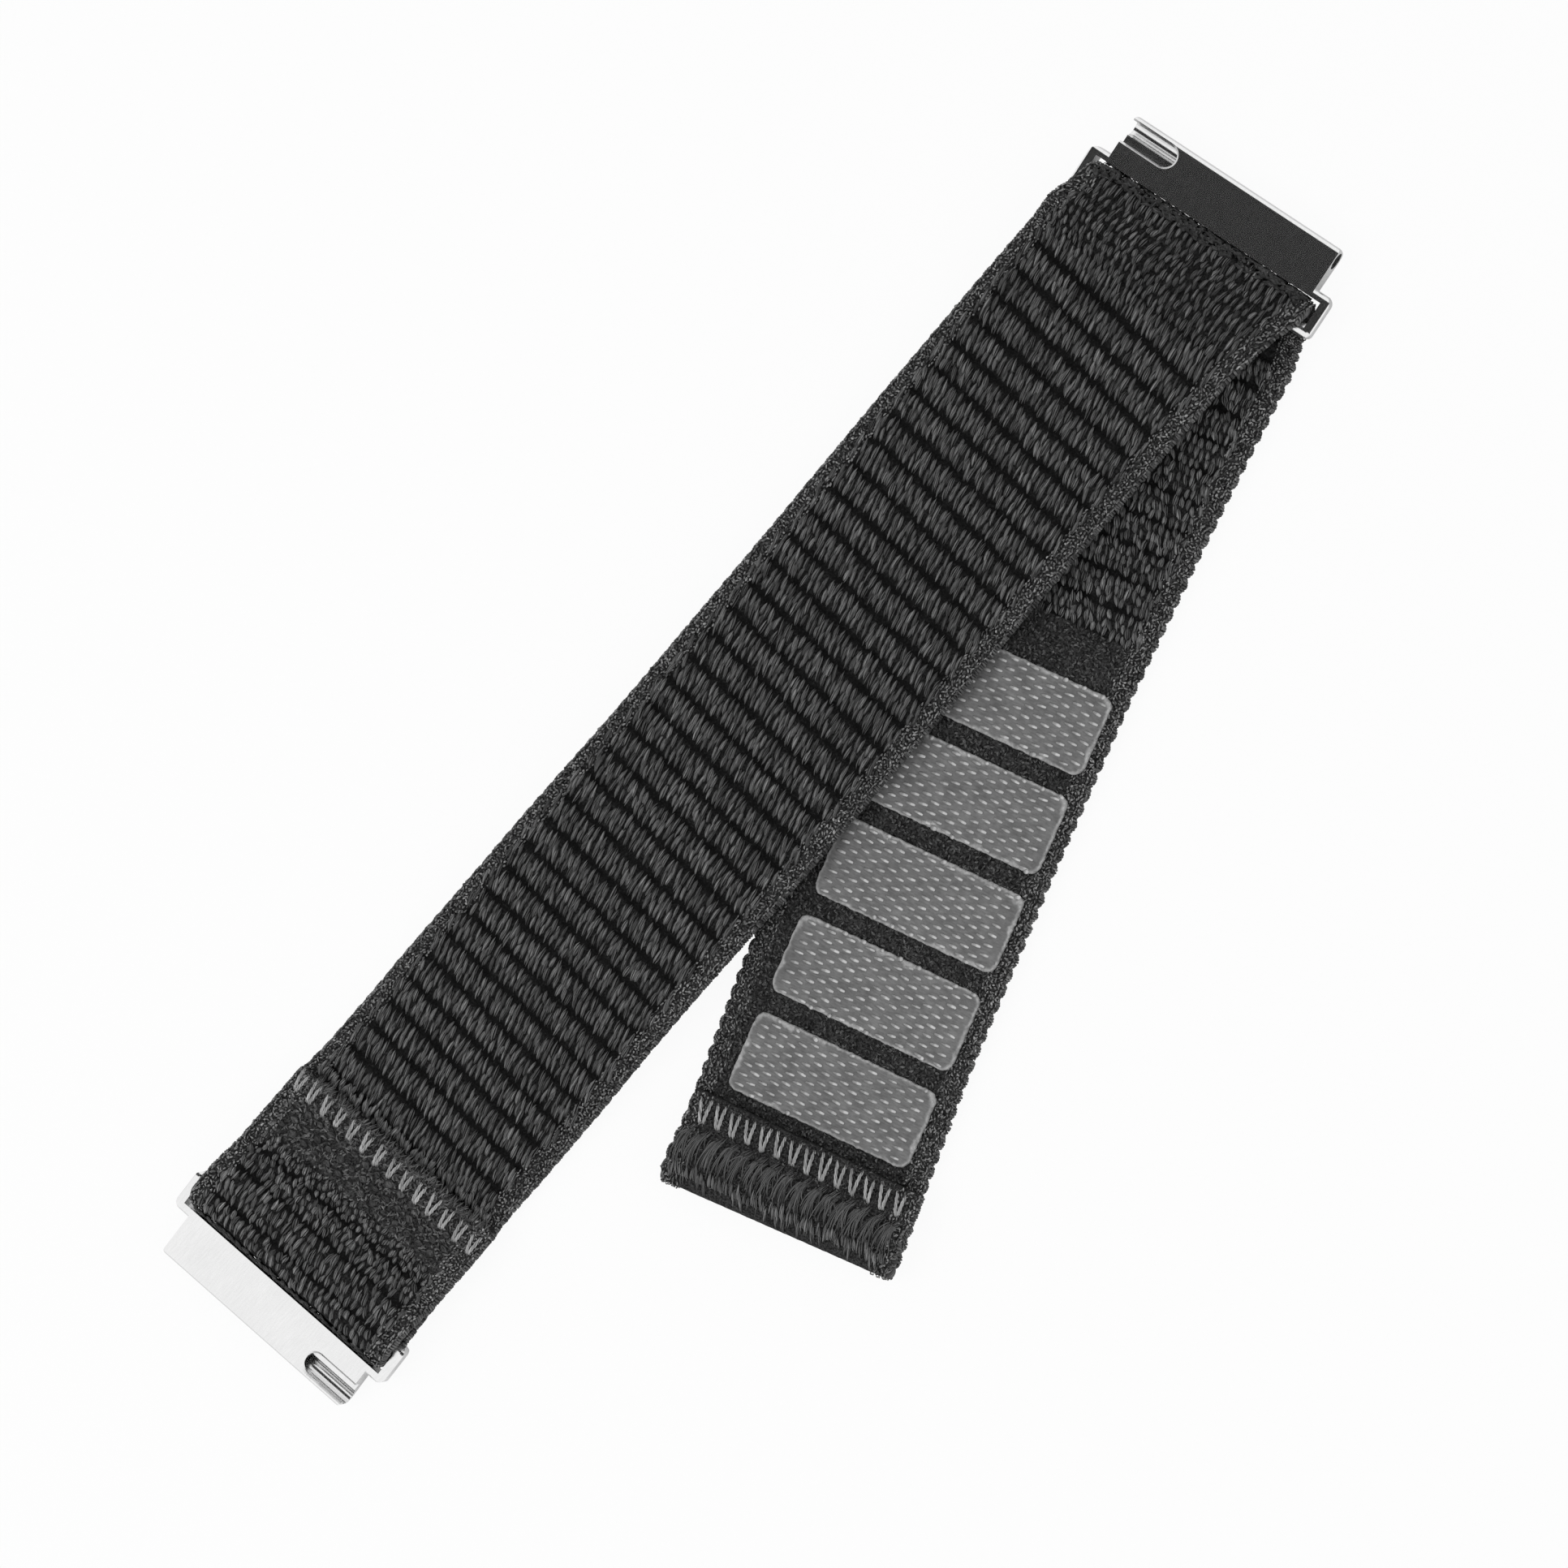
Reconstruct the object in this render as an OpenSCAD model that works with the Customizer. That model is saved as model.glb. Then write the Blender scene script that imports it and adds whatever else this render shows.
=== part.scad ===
// Woven nylon loop strap for a wrist watch, laid flat: a long ribbed band between two steel
// connectors, with a free tail that turns round the buckle connector and lies back under the band.
// The wrist side faces up. Millimetres, +Z up, origin at the bottom centre of the whole strap.

/* [Woven band] */
// Width of the band over both selvedges
band_w = 23; // [20:0.1:24]
// Thickness of the web between the ribs
web_t = 1.5; // [1.2:0.05:1.7]
// Height of a rib above the web, on each face
rib_h = 0.25; // [0.15:0.05:0.4]
// Distance from one rib to the next
rib_pitch = 2.82; // [2.4:0.02:3.4]
// Width of the groove between two ribs
groove_w = 0.7; // [0.4:0.05:1]
// Width of the shallow shoulder of a rib beside its groove
rib_shoulder = 0.4; // [0.2:0.05:0.6]
// Width of the flat selvedge along each edge
selvedge_w = 1.25; // [0.8:0.05:2]
// Distance between the bars that the long run spans
bar_to_bar = 121.7; // [100:0.1:160]
// Length of the free tail from the buckle bar to the pull tab's end
tail_l = 93.8; // [91:0.1:97]

/* [Fixed end] */
// Length of the end that is turned over and sewn down, from the bar
sewn_end_l = 14.1; // [13:0.1:20]
// Length of the flat strip under the stitch, at the end of the sewn layer
sewn_flat_l = 5.6; // [4:0.1:6]
// Angle in plan between the fixed bar and the square across the band
fixed_skew = 3.7; // [0:0.1:6]

/* [Tail] */
// Angle in plan between the buckle bar and the square across the band
buckle_skew = 8.3; // [4:0.1:10]
// Angle in plan between the tail and the long run
tail_skew = 18.1; // [16:0.1:19]
// Sideways travel of the fabric while it turns round the buckle bar, from the middle
turn_shift = 0.2; // [0.1:0.05:0.3]
// Distance from the buckle bar to the line where the tail bends away
bend_back = 5.5; // [5:0.1:7]
// Least length of flat face between the last pad and the tail's ribs
field_margin = 3; // [2:0.1:4.5]
// Length of the turned-over pull tab
tab_l = 8.65; // [8:0.05:9.2]
// Angle between the pull tab's end and the square across the tail
tab_skew = 2.2; // [0:0.1:5]
// Height of the soft crown on the pull tab
tab_crown = 0.45; // [0.2:0.05:0.8]

/* [Hook pads] */
// Length of a pad across the tail
pad_l = 18.2; // [16:0.1:19]
// Width of a pad along the tail
pad_w = 7.5; // [6:0.1:7.8]
// Thickness of a pad
pad_t = 0.45; // [0.3:0.05:0.6]
// Distance from one pad to the next
pad_pitch = 9.54; // [9:0.02:10]
// Corner radius of a pad
pad_r = 1; // [0.5:0.1:2]
// Distance from the pull tab's end to the first pad
pad_start = 9.8; // [9.5:0.1:11]
// Sideways offset of the pads from the middle of the tail
pad_offset = -0.4; // [-0.8:0.1:0.8]

/* [Stitches] */
// Zigzags across the band
stitch_n = 14; // [10:1:18]
// Thickness of the sewing thread
thread_d = 0.4; // [0.25:0.05:0.5]
// Reach of the zigzag along the band at the fixed end
fixed_zigzag = 2.4; // [1.6:0.1:3]
// Reach of the zigzag along the tail at the pull tab
tab_zigzag = 2.7; // [1.6:0.1:3]
// Distance from a sewn edge to the middle of its stitch
stitch_inset = 1.45; // [1.4:0.05:1.9]
// Plain margin between a stitch and the edge of the fabric, at each side
stitch_margin = 0.9; // [0.6:0.1:2]

/* [Connector] */
// Length of the tongue that goes between the lugs
tongue_l = 22; // [18:0.5:22.5]
// Reach of the tongue from the shoulders
tongue_w = 4.04; // [3.8:0.02:4.6]
// Thickness at the barrel
barrel_d = 2.2; // [2.1:0.05:2.6]
// Thickness at the inboard end of the frame
frame_t = 1.7; // [1.6:0.05:2]
// Width of metal between the shoulders and the slot
neck_w = 0.8; // [0.6:0.05:1.2]
// Width of the frame's arm at each end of the slot
arm_w = 0.85; // [0.7:0.05:1.5]
// Diameter of the inboard bar
bar_d = 1.5; // [1.3:0.05:1.6]
// Corner radius of the frame in plan
frame_r = 0.9; // [0.5:0.05:1]
// Corner radius of the tongue in plan
tongue_r = 0.4; // [0.2:0.05:0.6]
// Radius of the wrist edge along the tongue's tip and the shoulders
tip_r = 0.45; // [0.3:0.05:0.5]
// Radius of the wrist edge at the frame's ends
edge_r = 0.15; // [0.1:0.05:0.3]
// Radius of the frame's rounded outer edges, away from the wrist
outer_r = 0.7; // [0.4:0.05:0.9]

/* [Spring bar pocket] */
// Bore for the spring bar
bore_d = 1.6; // [1.5:0.05:1.7]
// Length of the quick-release pocket from the tongue's end
pocket_l = 5.2; // [4.5:0.1:7]
// Width of the pocket
pocket_w = 2.1; // [1.95:0.05:2.2]
// Width of the rim between the pocket and the tongue's edge
pocket_rim = 0.5; // [0.4:0.05:0.6]
// Depth of the pocket's ledge below the wrist face
pocket_depth = 1.2; // [0.9:0.05:1.4]
// Size of the bevel round the pocket's mouth
pocket_bevel = 0.18; // [0.1:0.02:0.25]

/* [Clearances] */
// Gap between a bar and the fabric turned round it
bar_gap = 0.1; // [0.05:0.01:0.3]
// Gap between the turned fabric and the slot's far wall
slot_face_gap = 0.35; // [0.25:0.05:0.6]
// Gap between the fabric's edge and each end of the slot
slot_side_gap = 0.26; // [0.2:0.02:0.6]
// Gap between two layers that lie on each other
layer_gap = 0.05; // [0.02:0.01:0.1]
// Gap between the long run and the pads under it
closure_gap = 0.3; // [0.25:0.05:0.6]
// Gap between the two sides of the tail's bend line
bend_gap = 0.12; // [0.08:0.02:0.3]

/* [Hidden] */

steel = [0.72, 0.72, 0.74];
nylon = [0.22, 0.22, 0.23];
nylon_turned = [0.27, 0.27, 0.28];
hook_grey = [0.5, 0.5, 0.5];
thread_grey = [0.66, 0.66, 0.66];

// Reach of the tools that cut or trim a piece, past anything they meet
far = 60;
// Steps along a smooth rise or fall
rise_steps = 14;

// Sizes of the turn of fabric round a bar
turn_in = bar_d / 2 + bar_gap;
turn_out = turn_in + web_t;
turn_run = turn_out - web_t / 2;
turn_l = band_w / cos(buckle_skew) + 2 * turn_shift;

// The turn gives way to the flat runs just past the round bar
hand_over = bar_d / 2 + turn_in;

// Heights of the middle of the web, from the table up
low_z = rib_h + web_t / 2;
bar_z = low_z + turn_run;
high_z = bar_z + turn_run;
tail_top = rib_h + web_t;
over_pads_z = tail_top + pad_t + closure_gap + rib_h + web_t / 2;
sewn_z = tail_top + rib_h + layer_gap + web_t / 2;
sewn_top = sewn_z + web_t / 2;
tab_z = tail_top + layer_gap + web_t / 2;
tab_top = tab_z + web_t / 2;

// Sizes of a connector, from its inboard bar
slot_l = turn_l + 2 * slot_side_gap;
slot_w = bar_gap + web_t + slot_face_gap;
frame_l = slot_l + 2 * arm_w;
slot_wall = bar_d / 2 + slot_w;
shoulder = slot_wall + neck_w;
tip = shoulder + tongue_w;
wrist_face = bar_d / 2;
bore_x = tip - barrel_d / 2;
bore_z = wrist_face - barrel_d / 2;
pocket_x = tip - pocket_rim - pocket_w / 2;

// Long run: its first groove past the sewn layer, and where it leaves the table and climbs onto the bar
tail_crossing = bar_to_bar - band_w * (1 + cos(tail_skew)) / 2 / sin(tail_skew);
leave_table = sewn_end_l + 2 * rib_pitch;
first_groove = sewn_end_l + groove_w;
reach_tail = tail_crossing - rib_pitch;
climb_from = bar_to_bar - 10 * rib_pitch;
climb_to = bar_to_bar - 3 * rib_pitch;

// Sizes of the tail's end: the fold, the flap's crown between fold and stitch, and the pad field
tab_end_r = (tab_top - rib_h) / 2;
crown_l = tab_l - tab_end_r - stitch_inset - tab_zigzag / 2 - thread_d - band_w / 2 * tan(tab_skew);
pad_field_at = tail_l - pad_start - 4 * pad_pitch - pad_w;

// Place of the buckle bar in plan, before the whole strap is centred on the origin
buckle_y = -turn_shift;

// Extents in plan: the rounded corners that reach furthest
left = -(tip - tongue_r) * cos(fixed_skew) - (tongue_l / 2 - tongue_r) * sin(fixed_skew) - tongue_r;
right = bar_to_bar + (tip - tongue_r) * cos(buckle_skew)
        + (tongue_l / 2 - tongue_r) * sin(buckle_skew) + tongue_r;
top = buckle_y + (shoulder - frame_r) * sin(buckle_skew)
      + (frame_l / 2 - frame_r) * cos(buckle_skew) + frame_r;
tab_corner_s = tail_l - band_w / 2 * tan(tab_skew);
bottom = buckle_y - turn_shift * cos(buckle_skew) - tab_corner_s * sin(tail_skew)
         - band_w / 2 * cos(tail_skew);
centre = [(left + right) / 2, (top + bottom) / 2, 0];

// Smooth step from 0 to 1 between two places
function ease(x, a, b) = let (t = min(1, max(0, (x - a) / (b - a)))) t * t * (3 - 2 * t);

// Height of the long run's web along the band
function run_z(x) = low_z + (over_pads_z - low_z) * ease(x, leave_table, reach_tail)
                    + (high_z - over_pads_z) * ease(x, climb_from, climb_to);

// Height of the sewn layer's web, from the bar inwards
function sewn_run_z(x) = let (down_to = sewn_end_l - sewn_flat_l - rib_pitch)
    high_z + (sewn_z - high_z) * ease(x, hand_over, down_to);

// One rib's outline from a groove, as [place, height above the web]
function rib_points(x) = [
    [x + groove_w / 2, 0],
    [x + groove_w / 2 + rib_shoulder, 0.85 * rib_h],
    [x + rib_pitch / 2, rib_h],
    [x + rib_pitch - groove_w / 2 - rib_shoulder, 0.85 * rib_h],
    [x + rib_pitch - groove_w / 2, 0]
];

// Outline of whole ribs between two places
function ribs(a, b) = [for (i = [0 : floor((b - a) / rib_pitch) - 1]) each rib_points(a + i * rib_pitch)];

// Points along a plain web between two places
function plain(a, b) = [for (i = [0 : rise_steps]) [a + (b - a) * i / rise_steps, 0]];

// Points in the opposite order
function backwards(p) = [for (i = [len(p) - 1 : -1 : 0]) p[i]];

// Lays a side view, drawn in X and Z, across the band
module across(width) {
    translate([0, width / 2, 0])
        rotate([90, 0, 0])
            linear_extrude(height = width)
                children();
}

// Box that reaches far up and down, between two places along X and two along Y
module column(x0, x1, y0, y1) {
    translate([x0, y0, -far])
        cube([x1 - x0, y1 - y0, 2 * far]);
}

// Puts a piece drawn from the fixed bar, with its connector towards -X, in its place
module at_fixed_bar() {
    translate([0, 0, bar_z])
        rotate([0, 0, 180 + fixed_skew])
            children();
}

// Puts a piece drawn from the buckle bar, with its connector towards +X, in its place
module at_buckle_bar() {
    translate([bar_to_bar, buckle_y, bar_z])
        rotate([0, 0, buckle_skew])
            children();
}

// Puts a piece drawn along the tail, from the buckle bar towards -X, in its place
module at_tail() {
    translate([bar_to_bar + turn_shift * sin(buckle_skew), buckle_y - turn_shift * cos(buckle_skew), 0])
        rotate([0, 0, tail_skew])
            children();
}

// Fabric turned round a bar, on the +X side of the bar's axis, with both runs as far as the ribs
module turned_fabric(length) {
    rotate([90, 0, 0])
        intersection() {
            difference() {
                cylinder(r = turn_out, h = length, center = true, $fn = 96);
                cylinder(r = turn_in, h = length + 2, center = true, $fn = 64);
            }
            translate([0, -turn_out - 1, -length])
                cube([turn_out + 1, 2 * turn_out + 2, 2 * length]);
        }
    for (z = [-turn_out, turn_in])
        translate([-hand_over, -length / 2, z])
            cube([hand_over, length, web_t]);
}

// Side view of the long run: ribs on both faces of a web that rises over the tail
module run_outline() {
    start = first_groove - rib_pitch * ceil(first_groove / rib_pitch + 1);
    ribbed = ribs(start, bar_to_bar + 2 * rib_pitch);
    over = [for (p = ribbed) [p[0], run_z(p[0]) + web_t / 2 + p[1]]];
    under = [for (p = ribbed) [p[0], run_z(p[0]) - web_t / 2 - p[1]]];
    polygon(concat(over, backwards(under)));
}

// Side view of the long run's web alone
module run_web_outline() {
    places = concat([-rib_pitch], [for (p = plain(leave_table, reach_tail)) p[0]],
                    [for (p = plain(climb_from, climb_to)) p[0]], [bar_to_bar + rib_pitch]);
    over = [for (x = places) [x, run_z(x) + web_t / 2]];
    under = [for (x = places) [x, run_z(x) - web_t / 2]];
    polygon(concat(over, backwards(under)));
}

// Room kept at each end of the long run for the turn of fabric, square to the bar
module past_fixed_turn() {
    at_fixed_bar()
        column(-far * 4, -hand_over, -far, far);
}

module past_buckle_turn() {
    at_buckle_bar()
        column(-far * 4, -hand_over, -far, far);
}

module main_band() {
    color(nylon)
        translate(-centre)
            intersection() {
                union() {
                    across(band_w)
                        run_web_outline();
                    across(band_w - 2 * selvedge_w)
                        run_outline();
                }
                past_fixed_turn();
                past_buckle_turn();
            }
}

// Side view of the sewn layer, drawn from the bar inwards towards +X
module sewn_outline() {
    ribbed_to = sewn_end_l - sewn_flat_l;
    ribbed = ribs(ribbed_to - rib_pitch * floor((ribbed_to - hand_over) / rib_pitch), ribbed_to);
    surface = concat([[hand_over, 0]], ribbed, [[sewn_end_l, 0]]);
    over = [for (p = surface) [p[0], sewn_run_z(p[0]) + web_t / 2 + p[1]]];
    under = [for (p = surface) [p[0], sewn_run_z(p[0]) - web_t / 2]];
    polygon(concat(over, backwards(under)));
}

// The band's end, turned up round the fixed bar and laid back on the long run
module fixed_end_turn() {
    color(nylon_turned)
        translate(-centre)
            intersection() {
                rotate([0, 0, fixed_skew])
                    union() {
                        translate([0, 0, bar_z])
                            rotate([0, 0, 180])
                                turned_fabric(2 * band_w);
                        across(2 * band_w)
                            sewn_outline();
                    }
                column(-far, far, -band_w / 2, band_w / 2);
            }
}

// The band's turn down round the buckle bar and its start back under the long run
module buckle_turn() {
    color(nylon_turned)
        translate(-centre) {
            at_buckle_bar()
                intersection() {
                    turned_fabric(2 * turn_l);
                    drift_trim();
                }
            intersection() {
                at_tail()
                    translate([-bend_back + bend_gap / 2, -band_w / 2, low_z - web_t / 2])
                        cube([far, band_w, web_t]);
                past_buckle_turn();
            }
        }
}

// Trims the turn to the band's width while it drifts sideways on its way down
module drift_trim() {
    drift = turn_shift / turn_run;
    half = (turn_l - 2 * turn_shift) / 2;
    reach = turn_out + 1;
    translate([-far, 0, 0])
        rotate([90, 0, 90])
            linear_extrude(height = 2 * far)
                polygon([
                    [half - drift * reach, -reach],
                    [half + drift * reach, reach],
                    [-half + drift * reach, reach],
                    [-half - drift * reach, -reach]
                ]);
}

// Side view of the tail: ribs below all along, and above as far as the pad field
module tail_outline() {
    start = -bend_back - bend_gap / 2;
    ribs_l = pad_field_at - field_margin + start;
    below = ribs(start - rib_pitch * ceil((start + tail_l) / rib_pitch), start);
    above = ribs(start - rib_pitch * floor(ribs_l / rib_pitch), start);
    over = [for (p = above) [p[0], low_z + web_t / 2 + p[1]]];
    under = [for (p = below) [p[0], low_z - web_t / 2 - p[1]]];
    polygon(concat([[under[0][0], low_z + web_t / 2]], over, [[start, low_z + web_t / 2]],
                   [[start, low_z - web_t / 2]], backwards(under)));
}

module tail_band() {
    color(nylon)
        translate(-centre)
            at_tail()
                intersection() {
                    union() {
                        across(band_w - 2 * selvedge_w)
                            tail_outline();
                        translate([-tail_l - band_w, -band_w / 2, low_z - web_t / 2])
                            cube([tail_l + band_w - bend_back - bend_gap / 2, band_w, web_t]);
                    }
                    past_fold();
                }
}

// Side view of the pull tab's flap, from the fold inwards towards +X, with its soft crown
module flap_outline() {
    crown = [for (i = [0 : rise_steps])
        [crown_l * i / rise_steps, tab_top + tab_crown * sin(180 * i / rise_steps)]];
    polygon(concat([[0, tab_top - web_t]], crown,
                   [[tab_l + band_w, tab_top], [tab_l + band_w, tab_top - web_t]]));
}

// Side view of the pull tab's round fold
module fold_outline() {
    intersection() {
        translate([0, rib_h + tab_end_r])
            circle(r = tab_end_r, $fn = 64);
        translate([-2 * tab_end_r, 0])
            square([2 * tab_end_r, 2 * tab_top]);
    }
}

// Everything on the band's side of the pull tab's fold
module past_fold() {
    translate([-tail_l + tab_end_r, 0, 0])
        rotate([0, 0, tab_skew])
            column(0, 4 * far, -far, far);
}

// The tail's end, turned over on itself as a grip, with a soft crown
module pull_tab() {
    color(nylon_turned)
        translate(-centre)
            at_tail()
                intersection() {
                    translate([-tail_l + tab_end_r, 0, 0])
                        rotate([0, 0, tab_skew]) {
                            across(2 * band_w)
                                fold_outline();
                            across(2 * band_w)
                                flap_outline();
                        }
                    column(-4 * far, -tail_l + tab_l, -band_w / 2, band_w / 2);
                }
}

// Zigzag of sewing thread, drawn across Y in the plane z = 0
module zigzag(reach, span) {
    step = span / stitch_n;
    half_reach = (reach - thread_d) / 2;
    turns = [for (i = [0 : 2 * stitch_n]) [(i % 2 == 0 ? -1 : 1) * half_reach, -span / 2 + i * step / 2]];
    linear_extrude(height = thread_d)
        union() {
            for (i = [0 : 2 * stitch_n - 1])
                thread_run(turns[i], turns[i + 1]);
        }
}

// Straight run of thread between two points of the fabric's face
module thread_run(a, b) {
    along = b - a;
    translate(a)
        rotate([0, 0, atan2(along[1], along[0])])
            translate([-thread_d / 2, -thread_d / 2])
                square([norm(along) + thread_d, thread_d]);
}

module fixed_end_stitch() {
    color(thread_grey)
        translate(-centre)
            rotate([0, 0, fixed_skew])
                translate([sewn_end_l - stitch_inset, 0, sewn_top])
                    zigzag(fixed_zigzag, band_w - 2 * stitch_margin);
}

module pull_tab_stitch() {
    color(thread_grey)
        translate(-centre)
            at_tail()
                translate([-tail_l + tab_l - stitch_inset, 0, tab_top])
                    zigzag(tab_zigzag, band_w - 2 * stitch_margin);
}

// Hook pad, counted from the pull tab, lying on the flat face of the tail
module hook_pad(i) {
    color(hook_grey)
        translate(-centre)
            at_tail()
                translate([-tail_l + pad_start + (i - 1) * pad_pitch, pad_offset - pad_l / 2, tail_top])
                    linear_extrude(height = pad_t)
                        rounded_rectangle([pad_w, pad_l], pad_r);
}

// Rectangle with round corners, from its lower left corner
module rounded_rectangle(size, r) {
    union() {
        translate([r, 0])
            square([size[0] - 2 * r, size[1]]);
        translate([0, r])
            square([size[0], size[1] - 2 * r]);
        for (x = [r, size[0] - r], y = [r, size[1] - r])
            translate([x, y])
                circle(r = r, $fn = 32);
    }
}

// Connector in plan, from the bar outwards towards +X: the frame and the tongue
module connector_plan() {
    frame_w = shoulder + bar_d / 2;
    union() {
        translate([-bar_d / 2, -frame_l / 2])
            rounded_rectangle([frame_w, frame_l], frame_r);
        translate([0, -tongue_l / 2])
            rounded_rectangle([tip, tongue_l], tongue_r);
    }
}

// Connector from the side: a flat wrist face, a round barrel and a tapering outer face
module connector_side() {
    inner_end = -bar_d / 2;
    heel_r = frame_t / 2;
    union() {
        translate([bore_x, bore_z])
            circle(r = barrel_d / 2, $fn = 96);
        translate([inner_end + heel_r, wrist_face - heel_r])
            circle(r = heel_r, $fn = 64);
        translate([tip - tip_r, wrist_face - tip_r])
            circle(r = tip_r, $fn = 48);
        polygon([
            [inner_end + heel_r, wrist_face],
            [tip - tip_r, wrist_face],
            [tip, wrist_face - tip_r],
            [tip, bore_z],
            [bore_x, bore_z - barrel_d / 2],
            [inner_end + heel_r, wrist_face - frame_t]
        ]);
    }
}

// Connector from the end: rounded along the frame's outer and wrist edges
module connector_front() {
    depth = barrel_d + 1;
    half = frame_l / 2;
    union() {
        for (side = [-1, 1]) {
            translate([side * (half - edge_r), wrist_face - edge_r])
                circle(r = edge_r, $fn = 32);
            translate([side * (half - outer_r), wrist_face - frame_t + outer_r])
                circle(r = outer_r, $fn = 48);
        }
        translate([-half + outer_r, wrist_face - depth])
            square([2 * (half - outer_r), depth]);
        translate([-half + edge_r, wrist_face - frame_t + outer_r])
            square([2 * (half - edge_r), frame_t - outer_r]);
        translate([-half, wrist_face - frame_t + outer_r])
            square([2 * half, frame_t - outer_r - edge_r]);
    }
}

// Pocket in plan: an oblong open at the tongue's end, grown by the given margin
module pocket_plan(margin) {
    r = pocket_w / 2 + margin;
    end = tongue_l / 2;
    translate([pocket_x, end - pocket_l + pocket_w / 2])
        circle(r = r, $fn = 64);
    translate([pocket_x - r, end - pocket_l + pocket_w / 2])
        square([2 * r, pocket_l]);
}

// Quick-release pocket with its bevelled mouth
module pocket_cut() {
    r = pocket_w / 2;
    end = tongue_l / 2;
    round_y = end - pocket_l + r;
    translate([0, 0, wrist_face - pocket_depth])
        linear_extrude(height = pocket_depth + 1)
            pocket_plan(0);
    translate([pocket_x, round_y, wrist_face - pocket_bevel])
        cylinder(r1 = r, r2 = r + 2 * pocket_bevel, h = 2 * pocket_bevel, $fn = 64);
    translate([pocket_x, round_y, wrist_face - pocket_bevel])
        rotate([90, 0, 180])
            linear_extrude(height = pocket_l)
                polygon([
                    [-r, 0],
                    [r, 0],
                    [r + 2 * pocket_bevel, 2 * pocket_bevel],
                    [-r - 2 * pocket_bevel, 2 * pocket_bevel]
                ]);
}

// Rounds the wrist edge of each shoulder, from the tongue's side to past the frame's end
module shoulder_cut() {
    for (side = [-1, 1])
        translate([shoulder - tip_r, side * (tongue_l / 2 + frame_r / 2 + frame_l / 4), wrist_face - tip_r])
            rotate([90, 0, 0])
                linear_extrude(height = frame_r + frame_l / 2, center = true)
                    difference() {
                        square([2 * tip_r, 2 * tip_r]);
                        circle(r = tip_r, $fn = 48);
                    }
}

// One connector, drawn from its inboard bar, with the tongue towards +X
module connector() {
    difference() {
        intersection() {
            translate([0, 0, -far / 2])
                linear_extrude(height = far)
                    connector_plan();
            across(2 * frame_l)
                connector_side();
            translate([-far / 2, 0, 0])
                rotate([90, 0, 90])
                    linear_extrude(height = far)
                        connector_front();
        }
        translate([-far / 2, -slot_l / 2, -far / 2])
            cube([far / 2 + slot_wall, slot_l, far]);
        translate([bore_x, 0, bore_z])
            rotate([90, 0, 0])
                cylinder(d = bore_d, h = 2 * frame_l, center = true, $fn = 64);
        pocket_cut();
        shoulder_cut();
    }
    rotate([90, 0, 0])
        cylinder(d = bar_d, h = slot_l + arm_w, center = true, $fn = 64);
}

module fixed_connector() {
    color(steel)
        translate(-centre)
            at_fixed_bar()
                connector();
}

module buckle_connector() {
    color(steel)
        translate(-centre)
            at_buckle_bar()
                connector();
}

main_band();
fixed_end_turn();
fixed_end_stitch();
buckle_turn();
tail_band();
pull_tab();
pull_tab_stitch();
hook_pad(1);  // hook_pad_1
hook_pad(2);  // hook_pad_2
hook_pad(3);  // hook_pad_3
hook_pad(4);  // hook_pad_4
hook_pad(5);  // hook_pad_5
fixed_connector();
buckle_connector();
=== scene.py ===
"""Looks of the woven nylon watch strap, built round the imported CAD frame.

The fabric is one ribbon. Its middle line is laid out once, from the sewn end to the pull tab, and every
yarn is placed on it by three numbers in millimetres: s along the ribbon, t across it and h out of it.
Face A has h above 0 and is the wrist side of the long run. Face B has h below 0.
"""
import math

import bpy
import numpy as np
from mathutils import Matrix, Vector


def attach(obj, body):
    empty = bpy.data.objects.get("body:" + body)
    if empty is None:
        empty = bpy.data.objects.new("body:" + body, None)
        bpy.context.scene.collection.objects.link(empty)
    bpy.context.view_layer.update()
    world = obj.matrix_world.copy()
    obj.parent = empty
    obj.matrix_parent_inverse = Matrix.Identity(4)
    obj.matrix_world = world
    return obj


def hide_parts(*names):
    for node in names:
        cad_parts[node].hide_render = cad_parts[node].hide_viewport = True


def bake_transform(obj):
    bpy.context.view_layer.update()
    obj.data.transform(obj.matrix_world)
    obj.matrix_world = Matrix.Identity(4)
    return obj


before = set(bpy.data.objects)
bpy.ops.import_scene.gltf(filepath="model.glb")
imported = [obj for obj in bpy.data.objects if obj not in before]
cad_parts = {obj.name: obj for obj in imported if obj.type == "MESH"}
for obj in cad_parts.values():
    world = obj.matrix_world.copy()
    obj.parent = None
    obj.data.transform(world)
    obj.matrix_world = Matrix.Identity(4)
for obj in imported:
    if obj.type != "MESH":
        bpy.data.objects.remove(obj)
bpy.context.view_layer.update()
scene = bpy.context.scene
rng = np.random.default_rng(7)
draw, join = rng.uniform, np.concatenate

# Sizes that follow the CAD source, in millimetres and degrees
BAND_W = 23.0
HALF_W = BAND_W / 2
WEB_T = 1.5
RIB_H = 0.25
RIB_PITCH = 2.82
GROOVE_W = 0.7
SELVEDGE_W = 1.25
BAR_TO_BAR = 121.7
TAIL_L = 93.8
SEWN_END_L = 14.1
SEWN_FLAT_L = 5.6
FIXED_SKEW = 3.7
BUCKLE_SKEW = 8.3
TAIL_SKEW = 18.1
TURN_SHIFT = 0.2
BEND_BACK = 5.5
BEND_GAP = 0.12
FIELD_MARGIN = 3.0
TAB_L = 8.65
TAB_SKEW = 2.2
TAB_CROWN = 0.45
PAD_L, PAD_W, PAD_T, PAD_PITCH, PAD_R = 18.2, 7.5, 0.45, 9.54, 1.0
PAD_START, PAD_OFFSET = 9.8, -0.4
STITCHES = 14
THREAD_D = 0.4
TAB_ZIGZAG = 2.7
STITCH_INSET, STITCH_MARGIN = 1.45, 0.9
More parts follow.
